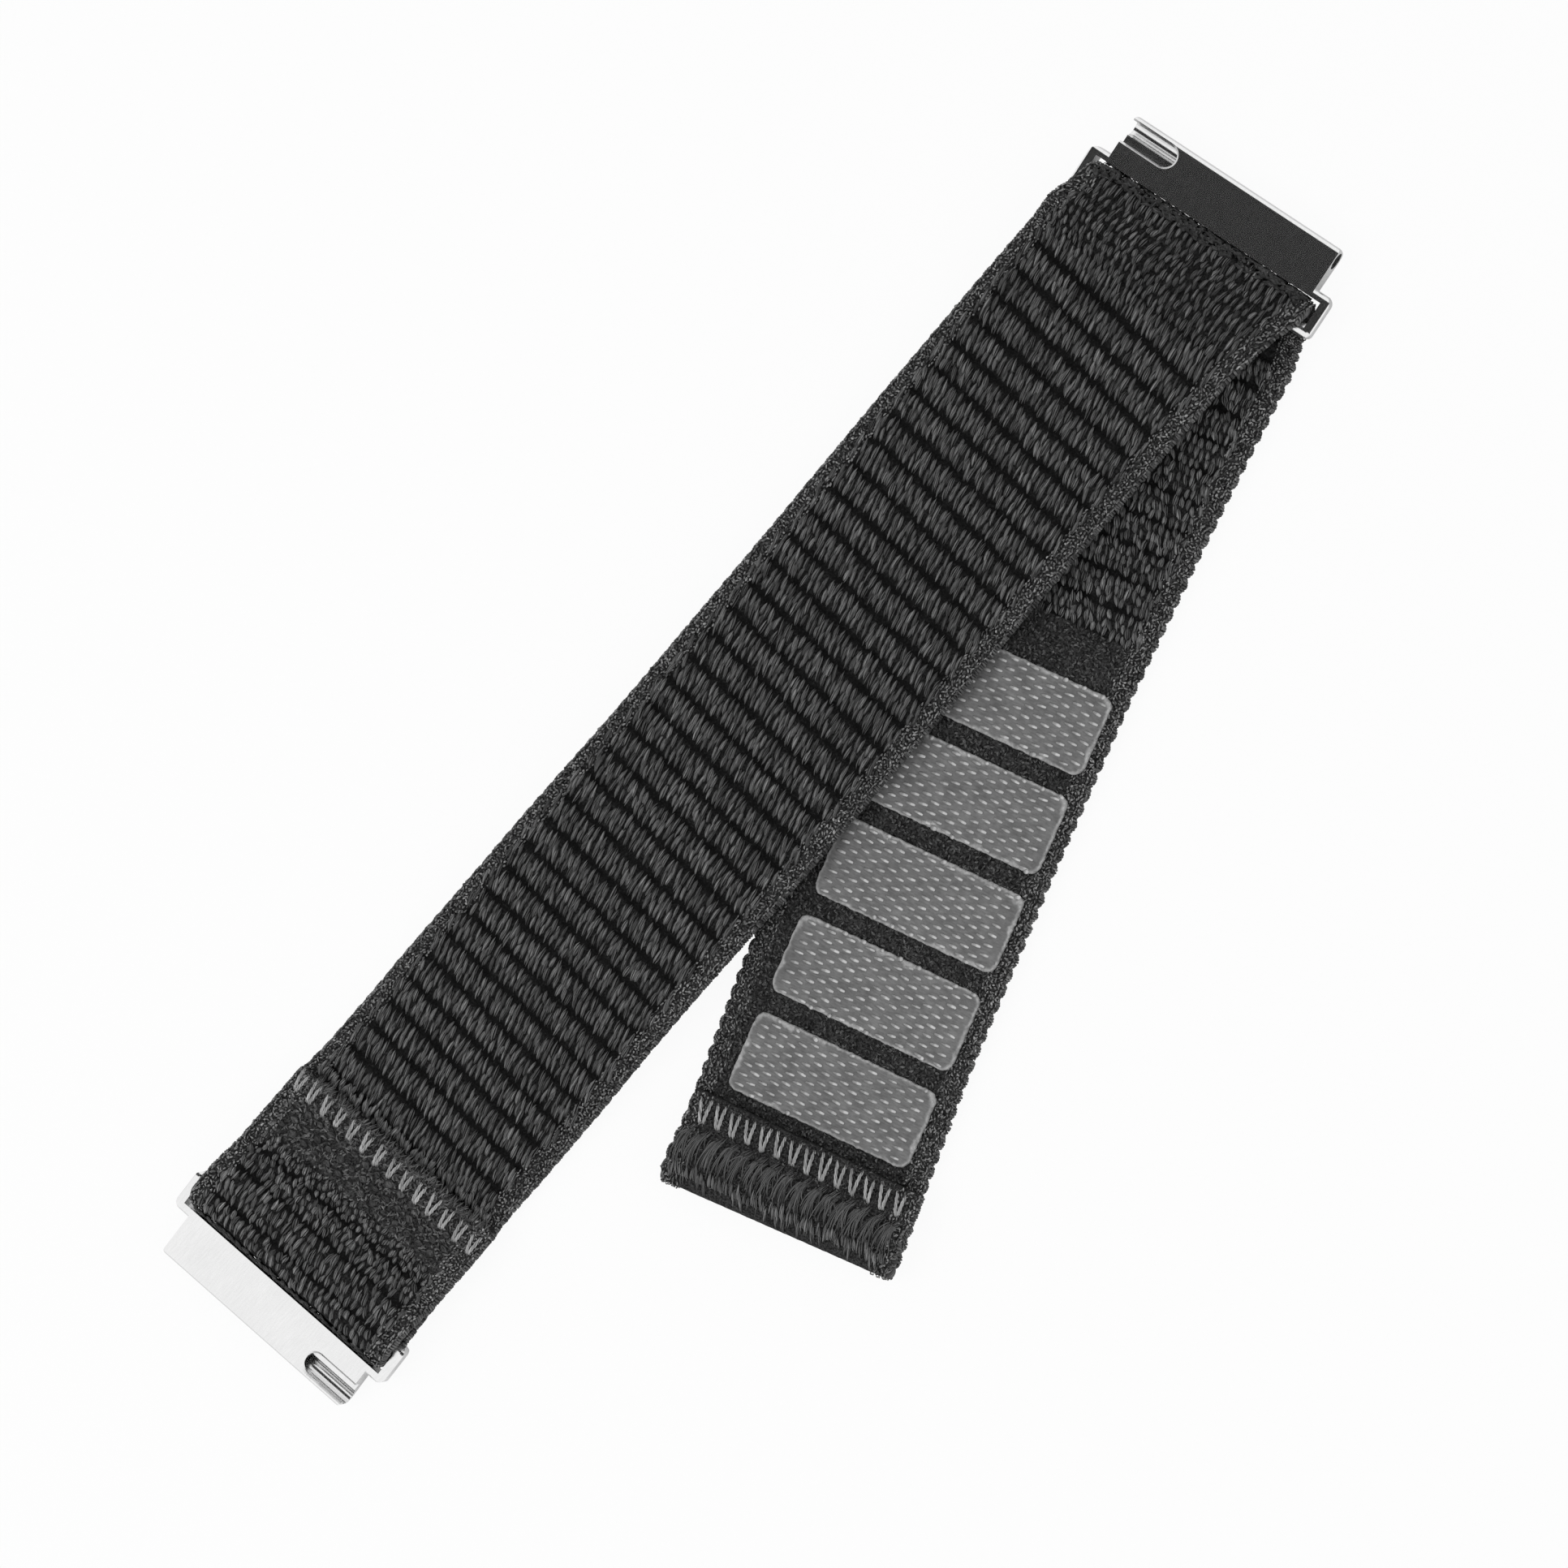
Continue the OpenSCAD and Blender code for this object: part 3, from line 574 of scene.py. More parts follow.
def cloth(name, s0, s1, material):
    """The cloth under the yarns: a closed ribbon whose faces rise at the ribs, with rounded edges."""
    steps = max(8, int((s1 - s0) / 0.2))
    s = np.linspace(s0, s1, steps)[:, None]
    flat = np.linspace(-HALF_W + 0.45, HALF_W - 0.45, 62)
    n = len(flat)
    lift = HALF_WEB - 0.1
    edge = np.radians([60, 30, 0, -30, -60])
    t = join([flat, flat[-1] + 0.36 * np.cos(edge), flat[::-1], flat[0] - 0.36 * np.cos(edge)])
    rise_a, rise_b = rib_rise(s, flat[None, :], 1), rib_rise(s, flat[None, ::-1], -1)
    top = lift + 0.14 * rise_a + rng.normal(0, 0.012, (steps, n))
    low = -lift - 0.14 * rise_b + rng.normal(0, 0.012, (steps, n))
    side = np.broadcast_to(lift * np.sin(edge), (steps, len(edge)))
    h = join([top, side, low, -side], 1)
    at_edge = np.clip((np.abs(flat) - HALF_RIBBED + 0.5) / 0.5, 0, 1)
    bare_a = np.maximum(at_edge[None, :], s > FOLD)
    bare_b = np.maximum(at_edge[None, ::-1], (s < sewn_s(BARE_TO)) | (s > B_STOPS))
    # On the rib tops the ground goes a third of the way to the bare grey, so that it is darkest in the
    # grooves: painted shade.
    bare = join([np.maximum(bare_a, 0.35 * rise_a), 1.0 + 0 * side,
                           np.maximum(bare_b, 0.35 * rise_b), 1.0 + 0 * side], 1)
    size = h.shape[1]
    placed = ribbon.place(np.broadcast_to(s, h.shape), np.broadcast_to(t, h.shape), h).reshape(-1, 3)
    j = np.arange(n - 1)
    cap = np.stack([j, j + 1, 2 * n + 3 - j, 2 * n + 4 - j], 1)
    right = [[n - 1, n + k, n + k + 1] for k in range(5)]
    left = [[0, 2 * n + 4 + k, 2 * n + 5 + k] for k in range(5)]
    fans = np.array(right + left)
    end = (steps - 1) * size
    quads = join([ring_quads(steps, size), cap, cap[:, ::-1] + end])
    tris = join([fans, fans[:, ::-1] + end])
    return make_object(name, placed, quads, tris, material, {"bare": bare.ravel()})


class Nodes:
    """The nodes of a new material or world, and short ways to add and link them."""

    def __init__(self, owner):
        owner.use_nodes = True
        self.owner, self.tree = owner, owner.node_tree

    def node(self, kind, inputs=None, **settings):
        node = self.tree.nodes.new(kind)
        for key, value in settings.items():
            setattr(node, key, value)
        for key, value in (inputs or {}).items():
            self.put(node.inputs[key], value)
        return node

    def put(self, socket, value):
        """Link a socket, or set a number or a grey."""
        if isinstance(value, bpy.types.NodeSocket):
            self.tree.links.new(value, socket)
        elif socket.type == "RGBA":
            socket.default_value = (value, value, value, 1)
        else:
            socket.default_value = value

    def maths(self, operation, a, b):
        return self.node("ShaderNodeMath", {0: a, 1: b}, operation=operation).outputs[0]


class Look(Nodes):
    """A material with one Principled shader."""

    def __init__(self, name, **shader):
        super().__init__(bpy.data.materials.new(name))
        self.shader = self.tree.nodes["Principled BSDF"]
        for key, value in shader.items():
            self.put(self.shader.inputs[key.replace("_", " ")], value)

    def attribute(self, name):
        return self.node("ShaderNodeAttribute", attribute_name=name).outputs["Fac"]

    def place(self, x, y, z):
        return self.node("ShaderNodeCombineXYZ", {0: x, 1: y, 2: z}).outputs[0]

    def stretched(self, scale=(1, 1, 1)):
        """The model's own coordinates, stretched by a scale for each axis."""
        where = self.node("ShaderNodeTexCoord").outputs["Object"]
        return self.node("ShaderNodeMapping", {"Vector": where, "Scale": scale}).outputs[0]

    def noise(self, vector, scale, detail=3.0, roughness=0.6):
        return self.node("ShaderNodeTexNoise", {"Vector": vector, "Scale": scale, "Detail": detail,
                                                "Roughness": roughness}).outputs["Fac"]

    def ramp(self, value, stops):
        """Greys along a value, as (place, grey) stops."""
        node = self.node("ShaderNodeValToRGB", {0: value})
        elements = node.color_ramp.elements
        while len(elements) < len(stops):
            elements.new(0.5)
        for element, (where, grey) in zip(elements, stops):
            element.position = where
            element.color = (grey, grey, grey, 1)
        return node.outputs["Color"]

    def times(self, a, b):
        return self.blend(1.0, a, b, "MULTIPLY")

    def blend(self, factor, a, b, kind="MIX"):
        node = self.node("ShaderNodeMix", data_type="RGBA", blend_type=kind)
        for index, value in ((0, factor), (6, a), (7, b)):
            self.put(node.inputs[index], value)
        return node.outputs[2]

    def finish(self, colour, height, distance, roughness=None):
        """Link the colour, a bump of the given depth in metres, and the roughness if it varies."""
        bump = self.node("ShaderNodeBump", {"Height": height, "Distance": distance, "Strength": 1.0})
        self.put(self.shader.inputs["Base Color"], colour)
        self.put(self.shader.inputs["Normal"], bump.outputs[0])
        if roughness is not None:
            self.put(self.shader.inputs["Roughness"], roughness)
        return self.owner


def yarn_look(name, dark, light, rough=0.6):
    """Filament yarn: fine streaks along each bundle, over a tone of its own, darker at its ends as painted
    shade where it dips into the weave.
    """
    look = Look(name, Roughness=rough, Specular_IOR_Level=0.15)
    run = look.attribute("run")
    where = look.place(look.attribute("fibre"), look.maths("MULTIPLY", run, 0.8), look.attribute("seed"))
    streak = look.noise(where, 2.2)
    grey = look.ramp(streak, [(0.36, dark), (0.5, (dark + light) * 0.5), (0.64, light)])
    toned = look.times(grey, look.attribute("tone"))
    # Colour halves towards each bundle's two ends: painted shade where the yarn dips into the weave.
    ends = look.maths("MULTIPLY", look.maths("MULTIPLY", run, look.maths("SUBTRACT", 1.0, run)), 4.0)
    return look.finish(look.times(toned, look.ramp(ends, [(0.0, 0.5), (0.5, 1.0)])), streak, 0.00004)


def cloth_look():
    """The ground of the weave: black in the grooves and under the yarns, partly its own dark nylon and
    partly painted shade, and finely woven and greyer where it lies bare.
    """
    look = Look("nylon_ground", Roughness=0.9, Specular_IOR_Level=0.08)
    where = look.stretched()
    grain = look.noise(where, 5200.0)
    patch = look.noise(where, 900.0)
    # The covered ground is darker than the bare: its own dark nylon with painted shade from the yarns over
    # it and from the grooves.
    dark_and_shaded_ground = look.ramp(grain, [(0.35, 0.004), (0.6, 0.01), (0.72, 0.025)])
    bare = look.ramp(grain, [(0.36, 0.008), (0.48, 0.03), (0.66, 0.07)])
    grey = look.blend(look.attribute("bare"), dark_and_shaded_ground, bare)
    return look.finish(look.times(grey, look.ramp(patch, [(0.3, 0.65), (0.7, 1.3)])), grain, 0.00012)


def tape_look():
    """Hook tape: a ribbed mid-grey ground, lighter where its edge has been melted down."""
    look = Look("hook_tape_ground", Roughness=0.5, Specular_IOR_Level=0.3)
    u, v, melt = look.attribute("u"), look.attribute("v"), look.attribute("melt")
    where = look.place(look.maths("MULTIPLY", u, 3.0), look.maths("MULTIPLY", v, 0.8), 0.0)
    weave = look.noise(where, 1.6)
    broad = look.noise(look.place(u, v, 0.0), 0.55)
    grey = look.ramp(weave, [(0.3, 0.125), (0.7, 0.2)])
    grey = look.times(grey, look.ramp(broad, [(0.3, 0.82), (0.7, 1.28)]))
    mottle = look.noise(look.place(u, v, 3.0), 2.2, 4.0, 0.7)
    edge = look.ramp(mottle, [(0.3, 0.22), (0.7, 0.55)])
    return look.finish(look.blend(melt, grey, edge), weave, 0.00005)


def hook_look():
    """The hooks: small glossy dashes, brighter at their heads as a painted highlight, with painted shade on
    their stems.
    """
    look = Look("hook_knobs", Roughness=0.4, Specular_IOR_Level=0.3)
    # Grey rises along each hook from stem to head: painted shade on the stem and a painted highlight on the
    # head.
    grey = look.ramp(look.attribute("run"), [(0.0, 0.29), (0.4, 0.36), (0.6, 0.6), (1.0, 0.64)])
    grey = look.times(grey, look.attribute("tone"))
    return look.finish(grey, look.noise(look.stretched(), 6000.0), 0.00002)


def steel_look():
    """Satin steel, brushed along the strap, with faint clouds in its grey."""
    look = Look("satin_steel", Metallic=1.0, Roughness=0.18)
    brush = look.noise(look.stretched((700.0, 6000.0, 3000.0)), 1.0)
    grain = look.noise(look.stretched((9000.0, 9000.0, 9000.0)), 1.0, 2.0)
    cloud = look.noise(look.stretched((160.0, 160.0, 160.0)), 1.0, 2.0)
    grey = look.times(look.ramp(grain, [(0.3, 0.84), (0.7, 0.88)]),
                      look.ramp(cloud, [(0.3, 0.97), (0.7, 1.02)]))
    grey = look.times(grey, look.ramp(brush, [(0.3, 0.95), (0.7, 1.02)]))
    rough = look.ramp(brush, [(0.3, 0.17), (0.7, 0.19)])
    return look.finish(grey, brush, 0.0000001, rough)


NYLON = yarn_look("nylon_yarn", 0.035, 0.24)
NYLON_FINE = yarn_look("nylon_fine", 0.03, 0.24)
THREAD = yarn_look("thread_ply", 0.2, 0.66, 0.5)
CLOTH = cloth_look()
TAPE = tape_look()
HOOKS = hook_look()
STEEL = steel_look()


# Places along the ribbon where pieces hand over, and where its layers, pads and stitches begin
RUN_FROM, RUN_TO = RUN + HAND_OVER, run_s(BAR_TO_BAR - HAND_OVER)
BEND = TAIL + BEND_BACK
PEEL_END = BEND + 5.0
TAIL_FROM = BEND + 8.0
LAYER_EDGE = run_s(SEWN_END_L)
FIELD = TAIL_TIP - PAD_START - 4 * PAD_PITCH - PAD_W
STITCH_FROM = END - STITCH_INSET - TAB_ZIGZAG / 2 - THREAD_D


def dress(pieces, body, slot, *nodes):
    """Pieces ride on a body, if one is named, and the named CAD nodes are hidden. slot is not used."""
    for piece in pieces:
        if body:
            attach(piece, body)
    if nodes:
        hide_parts(*nodes)
    return pieces


def stretch(name, s0, s1, body, nodes, ribs_a, ribs_b, fine=()):
    """All the fabric of one stretch of ribbon. ribs_a and ribs_b are the grooves of its two faces, and fine
    holds the tiny loops of its flat places, each table with its face."""
    pieces = [cloth(name + "_cloth", s0, s1, CLOTH)]
    if len(ribs_a) > 1:
        pieces += bundles(name + "_face_a", face_a(ribs_a), 1, NYLON, strands=THREE)
    if len(ribs_b) > 1:
        pieces += bundles(name + "_face_b", face_b(ribs_b), -1, NYLON, rings=4, strands=THREE)
    for face, side in ((1, "a"), (-1, "b")):
        pieces += bundles(name + "_selvedge_" + side, selvedge(s0, s1), face, NYLON_FINE, rings=4)
    pieces.append(rim(name + "_rim", s0, s1, NYLON_FINE))
    for number, (loops, face) in enumerate(fine):
        pieces += bundles(f"{name}_fine_{number + 1}", loops, face, NYLON_FINE, rings=3)
    return dress(pieces, body, "woven_nylon", *nodes)


def fabric():
    """The ribbon, from the sewn end to the pull tab."""
    bare_to = sewn_s(BARE_TO)
    stretch("sewn_end", 0.0, RUN_FROM, "band", ["fixed_end_turn"], [],
            [bare_to] + between(GROOVES, bare_to + 1, RUN_FROM - 0.5),
            [(crumbs(0.1, bare_to + 0.3, 2000, off_the_knots, 0.52, 0.105, 0.7), -1), (frayed_edge(), -1),
             (knots(), -1), (shaded_turn_loops(FIXED_TOP, 50, 0.93), -1)])
    stretch("long_run", RUN_FROM, RUN_TO, "band", ["main_band"],
            between(GROOVES, LAYER_EDGE - 2.3, RUN_TO + 1.6), between(GROOVES, RUN_FROM - 1.5, RUN_TO + 1.6))
    dress(bundles("long_run_edge_tufts", edge_tufts(), 1, NYLON, strands=THREE), "band", "woven_nylon")
    stretch("buckle_turn", RUN_TO, BEND, "band", ["buckle_turn"],
            between(GROOVES, RUN_TO + 0.5, TAIL_RIBS + 0.1), [], [(shaded_turn_loops(BUCKLE_TOP, 35, 1.0), 1)])
    start = stretch("tail_start", BEND, TAIL_FROM, None, [], between(TAIL_GROOVES, BEND, TAIL_FROM + 0.7),
                    between(TAIL_GROOVES, BEND, TAIL_FROM + 0.7))
    near, far = ribbon.place(BEND, 0.0, HALF_WEB), ribbon.place(PEEL_END, 0.0, HALF_WEB)
    for piece in start:
        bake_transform(piece)
    stretch("tail", TAIL_FROM, FOLD, "tail", ["tail_band"], between(TAIL_GROOVES, TAIL_FROM - 1, FOLD - 1),
            between(TAIL_GROOVES, TAIL_FROM - 1, B_STOPS + 0.1),
            [(crumbs(B_STOPS, END - TAB_L, 8500, clear_of_pads, 0.42, 0.11, 0.6, 0.4), -1)])
    stretch("pull_tab", FOLD, END, "tail", ["pull_tab"], [], [],
            [(crumbs(TAB - 0.1, END, 1200, lambda s, t: s > 0, 0.34, 0.08, 0.5), 1)])


def knots():
    """The smooth dark knots of the bare weave beside the seam."""
    places = [(row, t + 0.5 * KNOT_PITCH * (n % 2)) for n, row in enumerate(KNOT_ROWS)
              for t in np.arange(-HALF_RIBBED + KNOT_INSET, HALF_RIBBED - KNOT_INSET, KNOT_PITCH)]
    s, t = np.array(places).T
    return leaf_table(s + draw(-0.06, 0.06, len(s)), t, long=(0.85, 0.12), lean=(90, 20),
                      bow=(0.0, 0.03), wide=(0.4, 0.05), gap=(0.0, 0.0), high=(0.06, 0.01), h=(0.74, 0.015),
                      arch=(0.03, 0.01), tilt=(0.0, 0.04), tone=(0.4, 0.1))


def off_the_knots(s, t):
    """True away from the knots."""
    near = np.full(s.shape, 9.0)
    for n, row in enumerate(KNOT_ROWS):
        first = -HALF_RIBBED + KNOT_INSET + 0.5 * KNOT_PITCH * (n % 2)
        across = (t - first + KNOT_PITCH / 2) % KNOT_PITCH - KNOT_PITCH / 2
        near = np.minimum(near, np.hypot(s - row, across))
    return near > KNOT_CLEAR


def frayed_edge():
    """Short yarn ends over the cut edge of the sewn layer."""
    t = draw(-HALF_RIBBED - 0.9, HALF_RIBBED + 0.9, 260)
    return leaf_table(0.1 + draw(-0.25, 0.35, len(t)), t, long=(0.95, 0.3), lean=(180, 35),
                      bow=(0.0, 0.1), wide=(0.085, 0.025), gap=(0.0, 0.0), high=(0.09, 0.02), h=(0.62, 0.08),
                      arch=(0.06, 0.04), tilt=(-0.5, 0.25), tone=(0.8, 0.35))


def edge_tufts():
    """Tufts of the long run that stand up beside the sewn layer's cut edge."""
    t = join([np.arange(-HALF_RIBBED, HALF_RIBBED, pitch) for pitch in (0.6, 0.75)])
    t = t + draw(-0.15, 0.15, len(t))
    s = run_s(SEWN_END_L) + draw(0.35, 1.0, len(t)) - 0.03 * t
    return leaf_table(s, t, long=(1.2, 0.25), lean=(15, 20), bow=(0.0, 0.08), wide=(0.095, 0.02),
                      gap=(0.14, 0.04), high=(0.1, 0.02), h=(1.05, 0.12), arch=(0.25, 0.08), tilt=(0.0, 0.2),
                      tone=(1.1, 0.3))


def clear_of_pads(s, t):
    """True where the tail's face shows between and round the pads."""
    a = (TAIL_TIP - s - PAD_START) % PAD_PITCH
    in_pads = (a < PAD_W) & (s > FIELD) & (TAIL_TIP - s > PAD_START)
    return ~(in_pads & (np.abs(t + sideways(s - TAIL, TAIL_SHIFT) - PAD_OFFSET) < PAD_L / 2))


def pad_points(outline, ease_in, z):
    """One ring of a pad: its outline drawn in by ease_in, at height z over the tail."""
    drawn_in = outline * (1 - ease_in / np.array([PAD_W / 2, PAD_L / 2]))
    return np.column_stack([drawn_in, np.full(len(outline), z)])


def pad_outline():
    """A rounded rectangle, u along the tail and v across it, with an uneven melted edge, and how far in
    the melt reaches at each of its points."""
    hu, hv = PAD_W / 2 - PAD_R, PAD_L / 2 - PAD_R
    corner = []
    for sign_u, sign_v, start in ((1, 1, 0), (-1, 1, 90), (-1, -1, 180), (1, -1, 270)):
        turn = np.radians(start + np.linspace(0, 90, 12))
        corner.append(np.stack([sign_u * hu + PAD_R * np.cos(turn), sign_v * hv + PAD_R * np.sin(turn)], 1))
    loop = join(corner)
    loop = join([loop, loop[:1]])
    far = join([[0], np.cumsum(np.linalg.norm(np.diff(loop, axis=0), axis=1))])
    at = np.linspace(0, far[-1], 520, endpoint=False)
    points = np.stack([np.interp(at, far, loop[:, 0]), np.interp(at, far, loop[:, 1])], 1)
    along = np.roll(points, -1, 0) - np.roll(points, 1, 0)
    out = np.stack([along[:, 1], -along[:, 0]], 1) / np.linalg.norm(along, axis=1)[:, None]
    turns = 2 * np.pi * at / far[-1]

    def waves(low, high, count):
        return sum(draw(0.3, 1) * np.sin(k * turns + draw(0, 6.3))
                   for k in rng.integers(low, high, count)) / count ** 0.5

    cusps = 1 - np.abs(np.sin(np.pi * at / 1.85 + draw(0, 3))) ** 0.5
    outline = points + (0.03 * waves(12, 110, 14) + 0.07 * cusps - 0.03)[:, None] * out
    melt = 0.27 + 0.06 * waves(20, 110, 10)
    for middle in draw(0, far[-1], 22):
        gap = np.abs((at - middle + far[-1] / 2) % far[-1] - far[-1] / 2)
        melt = melt + draw(0.06, 0.26) * np.exp(-((gap / draw(0.3, 0.9)) ** 2))
    return outline, melt


def on_tail(a, u, v, z):
    """Points over the tail's flat face. a is the place of u = 0, counted from the tail's end."""
    return ribbon.place(TAIL_TIP - a - u, v - sideways(TAIL_L - a - u, TAIL_SHIFT), -(HALF_WEB + z))


def hook_pad(index):
    """One welded pad of hook tape: a slab with a melted rim, and its rows of hooks."""
    a = PAD_START + (index - 1) * PAD_PITCH + PAD_W / 2
    outline, reach = pad_outline()
    n = len(outline)
    rings = [(0.0, -0.1), (-0.02, 0.1), (0.03, 0.24), (0.1, 0.3), (0.2, 0.3), (0.3, 0.29), (0.42, 0.285),
             (0.56, 0.285), (0.72, 0.285), (0.9, 0.285), (1.8, 0.29)]
    points, melt = [], []
    for inset, z in rings:
        share = np.clip((reach - inset) / 0.2 + (inset < 0.15), 0, 1)
        ring = pad_points(outline, inset, z)
        ring[:, 2] += share * (z > 0.2) * (0.04 + 0.014 * rng.normal(0, 1, n))
        points.append(ring)
        melt.append(share)
    points.append(np.array([[0.0, 0.0, 0.29]]))
    melt.append([0.0])
    uvz, melt = join(points), join(melt)
    m = len(rings)
    quads = ring_quads(m, n)[:, [0, 3, 2, 1]]
    j = np.arange(n)
    tris = np.stack([(m - 1) * n + j, (m - 1) * n + (j + 1) % n, np.full(n, m * n)], 1)
    verts = on_tail(a, uvz[:, 0], uvz[:, 1] + PAD_OFFSET, uvz[:, 2])
    slab = make_object(f"hook_pad_{index}_tape", verts, quads, tris, TAPE,
                       {"u": uvz[:, 0] + 20 * index, "v": uvz[:, 1], "melt": melt})
    dress([slab], "tail", "hook_tape", f"hook_pad_{index}")
    dress(hooks(index, a), "tail", "hook_tape")


def hooks(index, a):
    """Rows of hooks along the pad, each brighter at its head as a painted highlight, and the rim's melted
    beads.
    """
    tables = []
    shift_v, shift_u = draw(0, HOOK_PITCH), draw(0, 2 * HOOK_ROW)
    for row, u in enumerate(np.arange(-PAD_W / 2 - 1 + shift_u, PAD_W / 2, HOOK_ROW)):
        v = np.arange(-PAD_L / 2 - 2, PAD_L / 2, HOOK_PITCH) + shift_v + HOOK_PITCH / 2 * (row % 2)
        v = v[(np.abs(v) < PAD_L / 2 - 0.5) & (abs(u) < PAD_W / 2 - 0.3)]
        s = TAIL_TIP - a - u + draw(-0.03, 0.03, len(v))
        t = v + PAD_OFFSET - sideways(s - TAIL, TAIL_SHIFT) + draw(-0.04, 0.04, len(v))
        tables.append(leaf_table(
            s, t, long=(0.9, 0.06), lean=(-90, 6), bow=(0.0, 0.02), wide=(0.14, 0.015), gap=(0.0, 0.0),
            high=(0.07, 0.01), h=(HALF_WEB + 0.3, 0.01), arch=(0.01, 0.01), tilt=(0.0, 0.03),
            tone=(0.92, 0.14)))
    for side, share in ((1, 0.75), (-1, 0.3)):
        t = np.arange(-PAD_L / 2 + 0.9, PAD_L / 2 - 0.8, 1.85) + draw(-0.25, 0.25)
        t = t[draw(0, 1, len(t)) < share]
        tables.append(leaf_table(
            TAIL_TIP - a - side * (PAD_W / 2 - 0.17) + 0 * t,
            t + PAD_OFFSET - sideways(TAIL_L - a, TAIL_SHIFT), long=(0.46, 0.12),
            lean=(-90, 30), bow=(0.0, 0.02), wide=(0.2, 0.04), gap=(0.0, 0.0), high=(0.14, 0.03),
            h=(HALF_WEB + 0.33, 0.03), arch=(0.03, 0.02), tilt=(0.0, 0.03), tone=(0.95, 0.15)))
    return bundles(f"hook_pad_{index}_hooks", join_tables(tables), -1, HOOKS, taper=0.14, vary=0.08)


def seam(name, at, reach, tops, face, body, node, margin=STITCH_MARGIN, slope=0.0):
    """A row of V-shaped stitches across the ribbon, each leg a thread of twisted plies. Legs start close
    together, reach along the ribbon, and end at the two places in tops, counted across it."""
    span = BAND_W - 2 * margin
    step = span / STITCHES
    middle = -span / 2 + step * (np.arange(STITCHES) + 0.5) - sum(tops) / 4
    legs_s, legs_t = [], []
    for top in tops:
        near = middle + 0.1 * np.sign(top - sum(tops) / 2) + draw(-0.05, 0.05, STITCHES)
        legs_t.append(np.stack([near, middle + top + draw(-0.1, 0.1, STITCHES)], 1))
        low = at - reach / 2 + draw(-0.1, 0.1, STITCHES)
        high = at + reach / 2 + draw(-0.18, 0.18, STITCHES)
        legs_s.append(np.stack([low, high], 1))
    ends_s, ends_t = join(legs_s), join(legs_t)
    m = 17
    a = np.linspace(0, 1, m)[None, :]
    t = ends_t[:, :1] + a * (ends_t[:, 1:] - ends_t[:, :1])
    s = ends_s[:, :1] + a * (ends_s[:, 1:] - ends_s[:, :1]) + slope * t
    h = HALF_WEB + 0.05 + 0.1 - 0.34 * (1 - a) ** 9 - 0.36 * a ** 5 + 0 * s
    phase = draw(0, 6.3, len(s))[:, None]
    plies = []
    for part in np.arange(PLIES) / PLIES:
        twist = phase + 2 * np.pi * (part - a * abs(reach) / TWIST_PITCH)
        plies.append(np.stack([s, t + 0.095 * np.cos(twist), face * (h + 0.09 * np.sin(twist))], -1))
    path = join(plies)
    n = len(path)
    wide = np.full((n, m), 0.078) * (1 - 0.3 * a ** 3)
    thread = yarn_object(name, path, out_of(path, face), wide, wide, draw(0.8, 1.2, n), THREAD,
                         ring=np.radians(np.arange(0, 360, 60)), swell=np.ones((m, 6)))
    dress([thread], body, "thread", node)


def tab_tufts():
    """Long floating yarns of the pull tab, bowed between the stitch and a row of short ones by the fold."""
    m = 9
    a = np.linspace(0, 1, m)
    top, low = STITCH_FROM - TAB + 0.4, 1.7
    paths, wides, tones = [], [], []
    for t0 in np.arange(-HALF_RIBBED - 0.2, HALF_RIBBED + 0.9, 1.47):
        for strand in range(30):
            spread = draw(-1, 1)
            x0 = top + draw(-0.9, 0.15)
            x1 = low + draw(-1.0, 0.9)
            x = x0 + (x1 - x0) * a
            bow = draw(0.6, 1.25)
            t = t0 + spread * (0.28 + 0.42 * a) + 1.9 * a - 1.5 * bow * a ** 2 + draw(-0.1, 0.1)
            lift = draw(0, 1)
            h = 0.7 + 0.18 * lift + 0.16 * np.sin(np.pi * a) ** 0.7 * (1 - 0.5 * abs(spread))
            paths.append(np.stack([TAB + x, t, h], -1))
            wides.append(draw(0.04, 0.075) * np.sin(np.pi * (0.06 + 0.88 * a)) ** 0.4)
            # Strands that lie higher are lighter and lower ones darker: painted light and shade.
            tones.append(0.4 + 0.5 * lift + draw(-0.1, 0.2))
    path, wide, tone = np.array(paths), np.array(wides), np.array(tones)
    good = np.abs(path[:, :, 1]).max(1) < HALF_W - 0.35
    path, wide, tone = path[good], wide[good], tone[good]
    tufts = yarn_object("pull_tab_tufts", path, out_of(path, 1), wide, wide, tone, NYLON)
    dress([tufts], "tail", "woven_nylon")
    near = np.arange(-HALF_RIBBED - 0.3, HALF_RIBBED + 0.6, 0.36)
    short = leaf_table(TAB + 0.45 + draw(-0.35, 0.35, len(near)), near, long=(1.4, 0.3), lean=(14, 9),
                       bow=(0.0, 0.05), wide=(0.07, 0.015), gap=(0.12, 0.03), high=(0.09, 0.02),
                       h=(0.92, 0.06), arch=(0.14, 0.03), tilt=(0.1, 0.06), tone=(1.15, 0.3))
    dress(bundles("pull_tab_row", short, 1, NYLON, strands=THREE), "tail", "woven_nylon")


def steel_parts():
    """The connectors keep their CAD shape and get the satin steel."""
    for node in ("fixed_connector", "buckle_connector"):
        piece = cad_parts[node]
        piece.data.materials.clear()
        piece.data.materials.append(STEEL)


def camera():
    """The photograph's view: a long lens, 16 degrees from straight down."""
    data = bpy.data.cameras.new("camera")
    data.lens, data.sensor_width = 140.55, 36.0
    eye = add_object("camera", data)
    eye.location = (0.090271, -0.111503, 0.526177)
    eye.rotation_euler = np.radians((1.783, 15.904, -47.26))
    scene.camera = eye


def soft_light(name, place, size, power):
    """A square studio lamp aimed at the middle of the strap."""
    data = bpy.data.lights.new(name, "AREA")
    data.size, data.energy = size, power
    lamp = add_object(name, data)
    lamp.location = place
    lamp.visible_glossy = False
    lamp.rotation_euler = (-Vector(place)).to_track_quat("-Z", "Y").to_euler()


